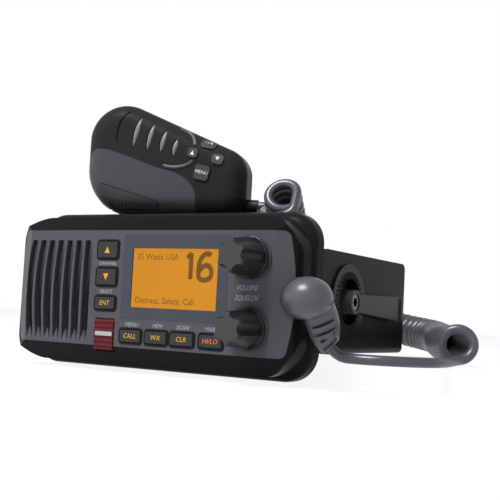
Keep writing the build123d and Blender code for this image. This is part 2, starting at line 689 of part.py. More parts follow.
def antenna_socket():
    """Bare coaxial socket on the back: square flange, threaded barrel and centre contact."""
    z = sum(SOCKET_Z) / 2
    flange_y = FINS_BACK + FLANGE_T
    socket = block(grown((ANTENNA_X, ANTENNA_X), FLANGE_W / 2), (FINS_BACK, flange_y),
                   grown((z, z), FLANGE_W / 2), KEY_R)
    socket += rod_y(ANTENNA_X, z, BARREL_R, FINS_BACK, FINS_BACK + BARREL_L)
    socket -= rod_y(ANTENNA_X, z, BARREL_BORE_R, flange_y, FINS_BACK + BARREL_L + LAP)
    return socket + rod_y(ANTENNA_X, z, CONTACT_R, flange_y - LAP, FINS_BACK + BARREL_L - LAP)


def power_inlet():
    """Bare power inlet on the back: a flanged plastic socket with two pins."""
    z = sum(SOCKET_Z) / 2
    x, z = grown((POWER_X, POWER_X), INLET_W / 2), grown((z, z), INLET_H / 2)
    shell = block(x, (FINS_BACK, FINS_BACK + INLET_L), z, INLET_WALL)
    shell -= block(grown(x, -INLET_WALL), (FINS_BACK + INLET_WALL, FINS_BACK + INLET_L + LAP),
                   grown(z, -INLET_WALL), KEY_R)
    return shell + [rod_y(POWER_X + dx, sum(z) / 2, INLET_PIN_R, FINS_BACK + LAP,
                          FINS_BACK + INLET_PIN_L) for dx in (-INLET_W / 6, INLET_W / 6)]


def pivot_inserts():
    """Threaded brass inserts, cast into the sides of the chassis at the pivot."""
    half = CHASSIS_W / 2
    one = rod_x(PIVOT_Y, PIVOT_Z, INSERT_R, half - INSERT_L, half + BOSS_H)
    one -= rod_x(PIVOT_Y, PIVOT_Z, SCREW_R + FIT, half - INSERT_L + INSERT_FLOOR,
                 half + BOSS_H + LAP)
    return [one, mirrored(one)]


# ---------------------------------------------------------------- bracket

def bracket():
    """A U of bent sheet: two arms, and a base with four fastening holes."""
    def folded(half, low, r):
        outline = Pos(0, (ARM_TOP + low) / 2) * Rectangle(2 * half, ARM_TOP - low)
        return fillet(outline.vertices().sort_by(Axis.Y)[:2], r)
    channel = prism_y(folded(ARM_OUT, BASE_Z, BEND_R + SHEET), ARM_FRONT, ARM_REAR)
    hollow = prism_y(folded(ARM_IN, BASE_Z + SHEET, BEND_R), ARM_FRONT - LAP, ARM_REAR + LAP)
    channel -= hollow
    side = Polygon((ARM_FRONT + ARM_SLOPE, BASE_Z), (ARM_REAR, BASE_Z), (ARM_REAR, ARM_TOP),
                   (ARM_FRONT, ARM_TOP), (ARM_FRONT, PIVOT_Z))
    side = fillet(side.vertices().sort_by(Axis.Y)[-2:], ARM_CORNER_R)
    channel &= prism_x(side, -ARM_OUT - LAP, ARM_OUT + LAP)
    for y in ((ARM_FRONT, BASE_FRONT), (BASE_REAR, ARM_REAR + LAP)):
        channel -= block(grown((-ARM_IN, ARM_IN), -BEND_R - SHEET), y,
                         (BASE_Z - LAP, BASE_Z + SHEET + LAP))
    channel -= rod_x(PIVOT_Y, PIVOT_Z, ring_wall_r() + FIT, -ARM_OUT - LAP, ARM_OUT + LAP)
    return channel - [prism_z(Pos(x, y) * Circle(HOLE_R), BASE_Z - LAP, BASE_Z + SHEET + LAP)
                      for x, y in base_holes()]


def base_holes():
    return [(sx * HOLE_SPACING_X / 2, HOLES_Y + sy * HOLE_SPACING_Y / 2)
            for sx in (-1, 1) for sy in (-1, 1)]


def mounting_pads():
    return [prism_z(Pos(x, y) * (Circle(PAD_R) - Circle(HOLE_R)), MOUNT_Z, BASE_Z)
            for x, y in base_holes()]


def ring_wall_r():
    return RING_BORE_R + RING_WALL


def ring_floor_x():
    """Where the inner face of the ring's floor lies, just clear of the chassis boss."""
    return CHASSIS_W / 2 + BOSS_H + RUN


def ratchet_ring():
    """A cup through the arm with a toothed flange outside it."""
    x0, x1 = ring_floor_x(), ARM_OUT + RING_T
    ring = rod_x(PIVOT_Y, PIVOT_Z, ring_wall_r(), x0, x1)
    ring += rod_x(PIVOT_Y, PIVOT_Z, RING_R, ARM_OUT, x1)
    ring -= rod_x(PIVOT_Y, PIVOT_Z, RING_BORE_R, x0 + RING_FLOOR, x1 + LAP)
    ring -= rod_x(PIVOT_Y, PIVOT_Z, SCREW_R + FIT, x0 - LAP, x1 + LAP)
    pitch = 2 * pi * RING_R / RING_TEETH
    tooth = Polygon((-pitch / 4, 0), (0, TOOTH_H), (pitch / 4, 0), align=None)
    for i in range(RING_TEETH):
        angle = 360 * i / RING_TEETH
        plane = Plane((x1, PIVOT_Y, PIVOT_Z), (0, -sin(radians(angle)), cos(radians(angle))),
                      (0, cos(radians(angle)), sin(radians(angle))))
        plane = plane.offset(ring_wall_r() + RUN)
        ring += extrude(plane * tooth, RING_R - ring_wall_r() - 3 * RUN)
    return ring


# ---------------------------------------------------------------- clamp levers

def clamp_lever():
    """A flat lever on a round hub that sits in the ring's cup."""
    x0 = ARM_OUT + RING_T + TOOTH_H + RUN
    x1 = x0 + LEVER_T
    tip = grown((-LEVER_DROP, -LEVER_DROP), LEVER_TIP / 2)
    arm = Polygon((0, -(LEVER_ROOT + LEVER_DROP) / 2), (LEVER_L, tip[0]), (LEVER_L, tip[1]),
                  (0, LEVER_ROOT / 2))
    arm = fillet(arm.vertices().sort_by(Axis.X)[-2:], LEVER_CORNER_R)
    arm = prism_x(Pos(PIVOT_Y, PIVOT_Z) * arm, x0, x1)
    lever = arm + rod_x(PIVOT_Y, PIVOT_Z, LEVER_HUB_R, ring_floor_x() + RING_FLOOR + RUN, x1)
    end = PIVOT_Y + LEVER_L - LEVER_CORNER_R
    lip = block((x1, x1 + LIP_H), (end - LIP_W, end), grown(tip, -LIP_INSET))
    lever += Pos(0, 0, PIVOT_Z) * lip
    lever -= rod_x(PIVOT_Y, PIVOT_Z, HEAD_R, x1 - HEAD_H, x1 + LAP)
    return lever - rod_x(PIVOT_Y, PIVOT_Z, SCREW_R, 0, x1)


def clamp_screw():
    """A socket-head screw through the hub and the ring into the chassis insert."""
    x1 = ARM_OUT + RING_T + TOOTH_H + RUN + LEVER_T
    head = rod_x(PIVOT_Y, PIVOT_Z, HEAD_R, x1 - HEAD_H, x1 - HEAD_SINK)
    socket = prism_x(Pos(PIVOT_Y, PIVOT_Z) * RegularPolygon(SOCKET_R, 6),
                     x1 - HEAD_SINK - SOCKET_DEPTH, x1)
    end = CHASSIS_W / 2 - INSERT_L + INSERT_FLOOR + LAP
    return head - socket + rod_x(PIVOT_Y, PIVOT_Z, SCREW_R, end, x1 - HEAD_H)


# ---------------------------------------------------------------- microphone cord

def cord_collar():
    return outlet_rod(OUTLET_R, 0, COLLAR_T) - outlet_rod(CORD_D / 2 + FIT, -LAP, COLLAR_T + LAP)


def boot_slots():
    """Slots across one side of the neck, which let it bend."""
    slots = []
    for i in range(BOOT_SLOT_COUNT):
        at = BOOT_SLOT_FIRST + i * BOOT_SLOT_PITCH
        (before, _, _), (after, way, r) = NECK[int(at)], NECK[int(at) + 1]
        place = Vector(*before) + (Vector(*after) - Vector(*before)) * (at % 1)
        across = Plane(place, x_dir=BOOT_SLOT_SIDE, z_dir=way)
        slots.append(across * Pos(0, r) * Box(1.5 * r, 0.7 * r, BOOT_SLOT_W))
    return slots


def cord_boot():
    """Rubber elbow: a ball on the collar that turns down into a tapering, slotted neck."""
    shell = Pos(*BALL) * Sphere(BALL_R) - outlet_rod(3 * BALL_R, -3 * BALL_R, COLLAR_T)
    shell += loft([Plane(place, z_dir=way) * Circle(r) for place, way, r in NECK])
    shell -= boot_slots()
    stem = outlet_rod(CORD_D / 2, -OUTLET_BOSS_H - LAP, COLLAR_T + BOOT_STEM)
    return shell - outlet_rod(OUTLET_R, -OUTLET_BOSS_H, COLLAR_T) + stem


def cord_tube(points, d):
    """A tube along straight runs joined by arcs as large as the runs allow."""
    points = [Vector(*p) for p in points]
    radii = []
    for a, b, c in zip(points, points[1:], points[2:]):
        run = min((b - a).length, (c - b).length)
        radii.append(0.45 * run / tan(radians((b - a).get_angle(c - b)) / 2))
    path = FilletPolyline(*points, radius=radii)
    return sweep(Plane(path @ 0, z_dir=path % 0) * Circle(d / 2), path=path)


# ---------------------------------------------------------------- hand microphone

def mic_outline(inset=0.0):
    """Outline from the front: tall left end, sloping back, flat underside."""
    outline = Polygon((MIC_LEFT, 0), (MIC_RIGHT, 0), (MIC_RIGHT, MIC_H_RIGHT),
                      (MIC_LEFT, MIC_H_LEFT), align=None)
    for corner, r in (((MIC_LEFT, 0), MIC_FOOT_LEFT_R), ((MIC_RIGHT, 0), MIC_FOOT_RIGHT_R),
                      ((MIC_RIGHT, MIC_H_RIGHT), MIC_TOP_RIGHT_R),
                      ((MIC_LEFT, MIC_H_LEFT), MIC_TOP_LEFT_R)):
        outline = fillet(outline.vertices().sort_by_distance(corner)[0], r)
    return offset(outline, -inset) if inset else outline


def mic_form(inset=0.0):
    """The whole body of the microphone, rounded all round and crowned on its face."""
    half = MIC_T / 2 - inset
    body = prism_y(mic_outline(inset), -half, half)
    ends = body.faces().filter_by(Axis.Y)
    return fillet(ends.edges(), MIC_EDGE_R - inset)


def mic_half(y):
    """A block that holds the front or the rear half of the microphone."""
    return block((MIC_LEFT - LAP, MIC_RIGHT + LAP), y, (-LAP, MIC_H_LEFT + LAP))


def mic_grip_zone():
    """The satin lower left of the front, under the curved border."""
    first, last = MIC_GRIP_BORDER[0], MIC_GRIP_BORDER[-1]
    left = MIC_LEFT - LAP
    outline = make_face([Polyline(last, (last[0], -LAP), (left, -LAP), (left, first[1]), first),
                         Spline(*MIC_GRIP_BORDER)])
    return prism_y(outline, -MIC_T, 0)


def mic_ptt_zone(margin=0.0):
    outline = Polygon(*MIC_PTT, align=None)
    outline = fillet(outline.vertices(), MIC_PTT_R)
    return offset(outline, margin) if margin else outline


def mic_key_outline(name, margin=0.0):
    (x, z), (w, h) = MIC_KEYS[name]
    return Pos(x, z) * (Rot(0, 0, MIC_KEY_LEAN)
                        * RectangleRounded(w + 2 * margin, h + 2 * margin, MIC_KEY_R))


def leaf(top, foot, w):
    """A pointed leaf between two points, as the grille's scoops are."""
    top, foot = Vector(*top), Vector(*foot)
    middle = (top + foot) / 2
    across = Vector(foot.Y - top.Y, top.X - foot.X).normalized() * (w / 2)
    return make_face([ThreePointArc(top, middle + across, foot),
                      ThreePointArc(foot, middle - across, top)])


def mic_key(name):
    raised = Pos(0, -MIC_KEY_RISE, 0) * mic_form()
    return prism_y(mic_key_outline(name), -MIC_T, MIC_BOARD_Y - KEY_TRAVEL - RUN) & raised


def mic_front_shell():
    body = mic_form() & mic_half((-MIC_T, 0))
    body -= mic_grip_zone()
    body -= mic_form(MIC_WALL) - mic_grip_zone()
    for name in MIC_KEYS:
        body -= prism_y(mic_key_outline(name, PLAY), -MIC_T, -MIC_WALL)
    for top, foot in MIC_SCOOPS:
        body -= prism_y(leaf(top, foot, SCOOP_W), -MIC_T, -MIC_WALL)
    shallow = mic_form() - Pos(0, BLANK_D, 0) * mic_form()
    body -= shallow & prism_y(leaf(*MIC_BLANK, BLANK_W), -MIC_T, 0)
    return body - mic_relief()


def mic_grip_panel():
    body = mic_form() & mic_grip_zone()
    body -= mic_form(MIC_WALL)
    return body - prism_y(mic_ptt_zone(PLAY), -MIC_T, 0)


def mic_ptt_bar():
    raised = Pos(0, -MIC_PTT_RISE, 0) * mic_form()
    return prism_y(mic_ptt_zone(), -MIC_T, MIC_PTT_BACK) & raised


def mic_rear_shell():
    body = (mic_form() & mic_half((0, MIC_T))) - mic_form(MIC_WALL)
    for x, z in MIC_SCREW_PLACES:
        body += rod_y(x, z, MIC_HEAD_R + 1, MIC_BOARD_Y + MIC_BOARD_T, MIC_T / 2 - MIC_WALL)
        body -= rod_y(x, z, MIC_SCREW_R + FIT, MIC_BOARD_Y, MIC_T / 2)
        body -= rod_y(x, z, MIC_HEAD_R + FIT, MIC_T / 2 - MIC_HEAD_H, MIC_T)
    return body - mic_relief()


def mic_board():
    outline = mic_outline(MIC_WALL + MIC_BOARD_INSET)
    return prism_y(outline, MIC_BOARD_Y, MIC_BOARD_Y + MIC_BOARD_T)


def mic_capsule():
    return rod_y(*CAPSULE_PLACE, CAPSULE_R, MIC_BOARD_Y - CAPSULE_L, MIC_BOARD_Y)


def hang_button():
    """The stud that hangs the microphone on a clip, on its back."""
    back = MIC_T / 2
    head = rod_y(*STUD_PLACE, STUD_HEAD_R, back + STUD_L, back + STUD_L + STUD_HEAD_H)
    return head + rod_y(*STUD_PLACE, STUD_R, back, back + STUD_L)


def mic_relief():
    return rod_x(0, RELIEF_Z, RELIEF_R, MIC_RIGHT - MIC_WALL - RELIEF_ROOT, MIC_RIGHT + RELIEF_L)


def mic_screws():
    seat = MIC_T / 2 - MIC_HEAD_H
    return [rod_y(x, z, MIC_HEAD_R, seat, MIC_T / 2 - RUN)
            + rod_y(x, z, MIC_SCREW_R, MIC_BOARD_Y + MIC_BOARD_T, seat) for x, z in MIC_SCREW_PLACES]


def placed_mic(shape):
    return Location((MIC_X, MIC_Y, HOUSING_TOP + RUN), (0, 0, MIC_YAW)) * shape


# ---------------------------------------------------------------- files

def write(name, shape):
    shape = Compound(children=list(shape)) if isinstance(shape, (list, tuple)) else shape
    export_step(Location((0, -HOLES_Y, -MOUNT_Z)) * shape, f"parts/{name}.step")


def main():
    os.makedirs("parts", exist_ok=True)
    for piece in (front_panel, bezel, housing_gasket, front_housing, display_frame, display_lens,
                  lcd_module, key_mat, panel_board, distress_flap, distress_button, hinge_pin,
                  speaker_cloth, loudspeaker, chassis, bottom_cover, cover_screws, main_board,
                  antenna_socket, power_inlet, pivot_inserts, bracket, mounting_pads, cord_collar,
                  cord_boot):
        write(piece.__name__, piece())
    for name, (x, z) in key_places().items():
        write(name, pressed_key(x, z, KEY_RISE))
    for name, z in (("volume", VOLUME_Z), ("squelch", SQUELCH_Z)):
        write(f"{name}_knob", knob(z))
        write(f"{name}_control", encoder(z))
    for piece in (ratchet_ring, clamp_lever, clamp_screw):
        right = piece()
        write(f"{piece.__name__}_right", right)
        write(f"{piece.__name__}_left", mirrored(right))
    for piece in (mic_front_shell, mic_grip_panel, mic_ptt_bar, mic_rear_shell, mic_board,
                  mic_capsule, hang_button, mic_relief):
        write(piece.__name__, placed_mic(piece()))
    write("mic_screws", [placed_mic(screw) for screw in mic_screws()])
    for name in MIC_KEYS:
        write(name, placed_mic(mic_key(name)))
    write("cord_lead", cord_tube(LEAD_POINTS, CORD_D))
    write("cord_coil", cord_tube(COIL_POINTS, COIL_D))
    write("cord_tail", cord_tube(TAIL_POINTS, CORD_D))


main()
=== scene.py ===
"""Dresses the VHF marine radio: camera, light, cords, and a finish and fine detail for every piece.

Everything is in metres in the mounting frame: X to the right, Y back, Z up from the surface that the
bracket's rubber pads stand on.
"""

from math import atan2, cos, pi, radians, sin

import bpy
from mathutils import Matrix, Vector
from mathutils.bvhtree import BVHTree


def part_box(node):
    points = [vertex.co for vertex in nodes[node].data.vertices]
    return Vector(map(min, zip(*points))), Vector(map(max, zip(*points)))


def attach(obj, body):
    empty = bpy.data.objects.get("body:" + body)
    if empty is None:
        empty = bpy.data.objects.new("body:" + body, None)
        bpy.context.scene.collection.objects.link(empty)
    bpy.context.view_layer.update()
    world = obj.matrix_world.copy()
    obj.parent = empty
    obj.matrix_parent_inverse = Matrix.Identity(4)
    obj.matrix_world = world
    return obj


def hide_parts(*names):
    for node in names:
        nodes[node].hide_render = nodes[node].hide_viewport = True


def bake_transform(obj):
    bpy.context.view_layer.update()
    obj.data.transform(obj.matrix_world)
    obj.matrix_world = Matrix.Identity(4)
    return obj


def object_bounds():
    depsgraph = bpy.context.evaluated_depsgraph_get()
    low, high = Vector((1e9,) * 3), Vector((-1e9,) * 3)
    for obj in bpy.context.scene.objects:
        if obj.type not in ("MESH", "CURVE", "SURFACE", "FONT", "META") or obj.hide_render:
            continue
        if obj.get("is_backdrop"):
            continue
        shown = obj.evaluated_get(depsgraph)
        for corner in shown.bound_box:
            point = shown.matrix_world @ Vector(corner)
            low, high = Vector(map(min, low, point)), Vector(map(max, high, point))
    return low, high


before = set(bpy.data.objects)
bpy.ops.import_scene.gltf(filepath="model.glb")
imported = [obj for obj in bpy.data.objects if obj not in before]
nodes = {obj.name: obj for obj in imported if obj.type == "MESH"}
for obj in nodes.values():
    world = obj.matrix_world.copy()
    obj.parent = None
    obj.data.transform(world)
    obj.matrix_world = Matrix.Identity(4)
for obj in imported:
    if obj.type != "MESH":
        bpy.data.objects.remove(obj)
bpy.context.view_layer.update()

# ---------------------------------------------------------------- camera
# A still camera with a long lens stands in front of the radio and to its right, a little below its
# middle, and looks slightly up at it.

CAMERA_PLACE = (0.2874, -0.4705, 0.0187)
CAMERA_YAW = 0.536115
CAMERA_PITCH = 0.071108
CAMERA_ROLL = 0.053221
SENSOR_W = 36.0
FOCAL_LENGTH = 68.22
NEAREST_SEEN = 0.01

camera = bpy.data.objects.new("camera", bpy.data.cameras.new("camera"))
bpy.context.scene.collection.objects.link(camera)
camera.data.sensor_width = SENSOR_W
camera.data.lens = FOCAL_LENGTH
camera.data.clip_start = NEAREST_SEEN
camera.matrix_world = (Matrix.Translation(CAMERA_PLACE) @ Matrix.Rotation(CAMERA_YAW, 4, "Z")
                       @ Matrix.Rotation(pi / 2 + CAMERA_PITCH, 4, "X")
                       @ Matrix.Rotation(CAMERA_ROLL, 4, "Z"))
bpy.context.scene.camera = camera
bpy.context.scene.view_settings.view_transform = "Standard"


# ---------------------------------------------------------------- stage and light
# The radio is fixed on a pale shelf, and its deep front housing hangs over a step in the shelf's
# front edge. One large soft lamp hangs in front of and above it, in a pale room with a dim ceiling.

class Wire:
    """A shader socket with a number's arithmetic; node() adds any other kind of node."""

    def __init__(self, tree, socket=None):
        self.tree = tree
        self.socket = socket

    def node(self, kind, settings=None, inputs=None, output=0):
        """Adds a node. Its settings are set first, then its sockets get their values or wires."""
        node = self.tree.nodes.new("ShaderNode" + kind)
        for name, value in (settings or {}).items():
            setattr(node, name, value)
        for name, value in (inputs or {}).items():
            self.join(value, node.inputs[name])
        return Wire(self.tree, node.outputs[output] if node.outputs else None)

    def join(self, value, socket):
        """Links a wire to a socket, or sets the socket to a plain value or a colour."""
        if isinstance(value, Wire):
            self.tree.links.new(value.socket, socket)
        elif socket.type == "RGBA" and len(value) == 3:
            socket.default_value = (*value, 1)
        else:
            socket.default_value = value

    def maths(self, operation, *values):
        """A Math node on wires and numbers."""
        inputs = {i: value for i, value in enumerate(values)}
        return self.node("Math", {"operation": operation}, inputs)

    def __add__(self, other):
        return self.maths("ADD", self, other)

    def __radd__(self, other):
        return self.maths("ADD", other, self)

    def __sub__(self, other):
        return self.maths("SUBTRACT", self, other)

    def __rsub__(self, other):
        return self.maths("SUBTRACT", other, self)

    def __mul__(self, other):
        return self.maths("MULTIPLY", self, other)

    def __rmul__(self, other):
        return self.maths("MULTIPLY", other, self)

    def __gt__(self, other):
        return self.maths("GREATER_THAN", self, other)

    def __lt__(self, other):
        return self.maths("LESS_THAN", self, other)

    def either(self, other):
        """The larger of the two."""
        return self.maths("MAXIMUM", self, other)

    def blend(self, first, second):
        """A colour that goes from the first to the second as this wire goes from 0 to 1."""
        return self.node("Mix", {"data_type": "RGBA"}, {0: self, 6: first, 7: second}, 2)


SHELF_EDGE = -0.043
SHELF_STEP = 0.0125
SHELF_REACH = 3.0
SHELF_WHITE = 0.86
BACKDROP_SHARE = 0.9
WORLD_LIGHT = 0.40
WORLD_LEAN = 0.12
CEILING_START = 0.45
CEILING_END = 0.75
CEILING = 0.2
WHITE = (1, 1, 1)
LAMP_PLACE = (-0.15, -0.75, 1.15)
LAMP_TARGET = (0, 0, 0.03)
LAMP_SIZE = 0.6
LAMP_POWER = 28


def mesh_piece(name, points, faces, smooth=False):
    """A new object in the scene with these points and faces."""
    mesh = bpy.data.meshes.new(name)
    mesh.from_pydata([tuple(p) for p in points], [], faces)
    mesh.validate()
    mesh.polygons.foreach_set("use_smooth", [smooth] * len(mesh.polygons))
    piece = bpy.data.objects.new(name, mesh)
    bpy.context.scene.collection.objects.link(piece)
    return piece


def shelf():
    """A floor with one step across it, under the middle of the radio's front housing."""
    steps = ((-SHELF_REACH, -SHELF_STEP), (SHELF_EDGE, -SHELF_STEP), (SHELF_EDGE, 0), (SHELF_REACH, 0))
    points = [(x, y, z) for y, z in steps for x in (-SHELF_REACH, SHELF_REACH)]
    return mesh_piece("shelf", points, [(i, i + 1, i + 3, i + 2) for i in (0, 2, 4)])


def seen_directly(tree):
    """1 for rays that show the background: those of the camera, and through glass or off a gloss."""
    path = tree.nodes.new("ShaderNodeLightPath")
    ray = Wire(tree, path.outputs["Is Camera Ray"])
    return ray.either(Wire(tree, path.outputs["Is Glossy Ray"])).either(
        Wire(tree, path.outputs["Is Transmission Ray"]))


floor = shelf()
floor_paint = bpy.data.materials.new("shelf_white")
floor_paint.use_nodes = True
tree = floor_paint.node_tree
tree.nodes.clear()
wire = Wire(tree)
matt = wire.node("BsdfDiffuse", None, {"Color": (SHELF_WHITE,) * 3})
glow = wire.node("Emission", None, {"Color": WHITE, "Strength": 1.0})
both = wire.node("MixShader", None, {0: seen_directly(tree) * BACKDROP_SHARE, 1: matt, 2: glow})
wire.node("OutputMaterial", None, {"Surface": both})
floor.data.materials.append(floor_paint)
floor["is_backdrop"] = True

world = bpy.data.worlds.new("studio")
bpy.context.scene.world = world
world.use_nodes = True
tree = world.node_tree
tree.nodes.clear()
wire = Wire(tree)
way = wire.node("TexCoord")
level = WORLD_LIGHT - wire.node("SeparateXYZ", None, {"Vector": way}, 0) * WORLD_LEAN
overhead = wire.node("SeparateXYZ", None, {"Vector": way}, 2)
walls = wire.node("MapRange", None, {"Value": overhead, "From Min": CEILING_START,
                                     "From Max": CEILING_END, "To Min": 1.0, "To Max": CEILING})
sky = wire.node("Background", None, {
    "Color": WHITE, "Strength": level.either(seen_directly(tree) * walls)})
wire.node("OutputWorld", None, {"Surface": sky})

lamp = bpy.data.objects.new("key_lamp", bpy.data.lights.new("key_lamp", "AREA"))
lamp.data.shape = "DISK"
lamp.data.size = LAMP_SIZE
lamp.data.energy = LAMP_POWER
lamp.location = LAMP_PLACE
lamp.rotation_euler = (Vector(LAMP_TARGET) - Vector(LAMP_PLACE)).to_track_quat("-Z", "Y").to_euler()
bpy.context.scene.collection.objects.link(lamp)


# ---------------------------------------------------------------- curly cord
# One round cable with a smooth grey rubber jacket. It leaves the boot as a straight lead, is wound
# and heat-set into a long curl behind the radio, and ends in the microphone's strain relief.

CORD_D = 0.0049
SKIN_STEPS = 4
COIL_R = 0.00755
TURN_POINTS = 16
TURN_STEPS = 3
TAIL_STEPS = 8
OPEN_PITCH = 0.0098
SHUT_PITCH = 0.0054
OPEN_LENGTH = 0.070
LEAD = [(98.6, 15.8, -23.0), (101.8, 18.0, -27.3), (110, 18.2, -27.5), (121, 19.5, -27.5),
        (132.5, 27, -27.5), (140.5, 39.5, -27.5), (141.5, 54, -27.3)]
COIL = [(142.5, 66, -18.8), (130, 91, -19.6), (116.5, 119, -19.2), (104, 150, -18),
        (90, 176, -16.5), (64, 190, -13.5), (34, 190, -6), (10, 177, 10), (3, 152, 31),
        (13, 128, 36.4), (28, 104, 35.8), (41, 84, 35.8), (49, 62, 37.2), (56.2, 39.5, 52.8)]
TAIL = [(29.6, 62.5, 49.0), (38.5, 65.2, 49.2), (39.3, 49.5, 44.5), (46, 38, 40.5),
        (57, 33, 39.3), (65.5, 34.5, 41.8), (64.5, 38.6, 47.7), (63.4, 41.8, 52.8)]
HOLES_Y = 92.0
MOUNT_Z = -30.0


def row(x, y, z):
    """A place in the panel frame, in mm, as metres in the mounting frame."""
    return Vector((x / 1000, (y - HOLES_Y) / 1000, (z - MOUNT_Z) / 1000))


def spline_curve(name, points, radius=0.0, steps=6):
    """A smooth open NURBS curve with these control points."""
    curve = bpy.data.curves.new(name, "CURVE")
    curve.dimensions = "3D"
    curve.resolution_u = steps
    curve.bevel_depth = radius
    curve.bevel_resolution = SKIN_STEPS
    curve.use_fill_caps = radius > 0
    spline = curve.splines.new("NURBS")
    spline.points.add(len(points) - 1)
    for point, place in zip(spline.points, points):
        point.co = (*place, 1)
    spline.order_u = 3
    spline.use_endpoint_u = True
    piece = bpy.data.objects.new(name, curve)
    bpy.context.scene.collection.objects.link(piece)
    return piece


def traced(points, steps=12):
    """The points of the smooth curve through a route."""
    guide = spline_curve("guide", points, steps=steps)
    mesh = bpy.data.meshes.new_from_object(guide)
    line = [v.co.copy() for v in mesh.vertices]
    curve = guide.data
    bpy.data.objects.remove(guide)
    bpy.data.curves.remove(curve)
    bpy.data.meshes.remove(mesh)
    return line


def tube(name, points, radius, steps):
    """A mesh skin round the smooth curve through a route."""
    guide = spline_curve("guide", points, radius, steps)
    piece = bpy.data.objects.new(name, bpy.data.meshes.new_from_object(guide))
    bpy.context.scene.collection.objects.link(piece)
    curve = guide.data
    bpy.data.objects.remove(guide)
    bpy.data.curves.remove(curve)
    return piece


def length_of(line):
    """The length of a line of points."""
    return sum((b - a).length for a, b in zip(line, line[1:]))


def helix(line, radius, first, last):
    """Points of a left-handed coil round a line, from one direction off it to another."""
    tangents = [(b - a).normalized() for a, b in zip(line, line[1:])]
    normal = (first - first.project(tangents[0])).normalized()
    frames, along = [], 0.0
    for start, end, tangent in zip(line, line[1:], tangents):
        normal = (normal - normal.project(tangent)).normalized()
        frames.append((along, start, end, tangent, normal))
        along += (end - start).length
    places, at = [], 0.0
    while at < along:
        places.append(at)
        share = min(at / OPEN_LENGTH, 1)
        at += (OPEN_PITCH + (SHUT_PITCH - OPEN_PITCH) * share) / TURN_POINTS
    ending = last - last.project(tangents[-1])
    wanted = atan2(ending.dot(tangents[-1].cross(normal)), ending.dot(normal))
    reached = -2 * pi * (len(places) - 1) / TURN_POINTS
    off = (wanted - reached + pi) % (2 * pi) - pi
    step = (reached + off) / (len(places) - 1)
    points, i = [], 0
    for k, at in enumerate(places):
        while i + 1 < len(frames) and frames[i + 1][0] <= at:
            i += 1
        start_at, start, end, tangent, normal = frames[i]
        middle = start.lerp(end, (at - start_at) / (end - start).length)
        side = tangent.cross(normal)
        points.append(middle + radius * (normal * cos(k * step) + side * sin(k * step)))
    return points


coil_line = traced([row(*p) for p in COIL])
coil_end = coil_line[-1] - coil_line[-2]
ring_side = Vector((0, 0, 1)).cross(coil_end)
curl = helix(coil_line, COIL_R, Vector((0, 0, -1)), ring_side)
cord_points = [row(*p) for p in LEAD] + curl
cord_line = traced(cord_points, TURN_STEPS)
cord = tube("curly_cord", cord_points, CORD_D / 2, TURN_STEPS)
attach(cord, "radio")
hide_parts("cord_lead", "cord_coil")

tail_points = [row(*p) for p in TAIL[:-1]] + [curl[-1]]
tail_line = traced(tail_points)
tail = tube("cord_tail_end", tail_points, CORD_D / 2, TAIL_STEPS)
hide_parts("cord_tail")


def finish(name, base, rough, **constants):
    """A new material, the wire of its object coordinates, and its shader with these constants."""
    material = bpy.data.materials.new(name)
    material.use_nodes = True
    shader = material.node_tree.nodes["Principled BSDF"]
    shader.inputs["Base Color"].default_value = (*base, 1)
    shader.inputs["Roughness"].default_value = rough
    for key, value in constants.items():
        shader.inputs[key.replace("_", " ")].default_value = value
    place = Wire(material.node_tree).node("TexCoord", output=3)
    return material, place, shader


CLOUD_SCALE = 90.0
GRAIN_HEIGHT = 0.0001


def raise_grain(place, shader, height, strength, distance=GRAIN_HEIGHT):
    """Lets a wire of heights bump the surface."""
    bump = place.node("Bump", None, {"Strength": strength, "Distance": distance, "Height": height})
    place.join(bump, shader.inputs["Normal"])


def mottled(name, base, rough, grain=2500.0, depth=0.3, spread=0.12, rubs=0.06, **constants):
    """A moulded, cast or painted skin: cloudy colour, uneven gloss and a fine raised grain."""
    material, place, shader = finish(name, base, rough, **constants)
    clouds = place.node("TexNoise", None, {"Vector": place, "Scale": CLOUD_SCALE, "Detail": 4.0})
    fine = place.node("TexNoise", None, {"Vector": place, "Scale": grain, "Detail": 3.0})
    darker = tuple(c * (1 - spread) for c in base)
    lighter = tuple(min(c * (1 + spread), 1) for c in base)
    place.join((clouds * 0.6 + fine * 0.4).blend(darker, lighter), shader.inputs["Base Color"])
    place.join(rough - rubs + (clouds * 1.4 + fine * 0.6) * rubs, shader.inputs["Roughness"])
    raise_grain(place, shader, fine, depth)
    return material


def dress(material, *names):
    """Gives CAD nodes their finish."""
    for name in names:
        for slot in nodes[name].material_slots:
            slot.link = "OBJECT"
            slot.material = material


cord_rubber = mottled("cord_rubber", (0.050, 0.049, 0.060), 0.30, grain=3200, depth=0.1,
                      Specular_IOR_Level=0.5)
for piece in (cord, tail):
    piece.data.materials.append(cord_rubber)
tuple(row(*LEAD[0]))
length_of(cord_line)
tuple(row(*TAIL[0]))
length_of(tail_line)
row(60, 40, 45)
row(36, 60, 48)
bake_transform(tail)


# ---------------------------------------------------------------- front panel
# The panel is a moulded plate in satin metallic grey lacquer, with its speaker louvres moulded in.
# The words beside its controls are screen printed in pale grey.

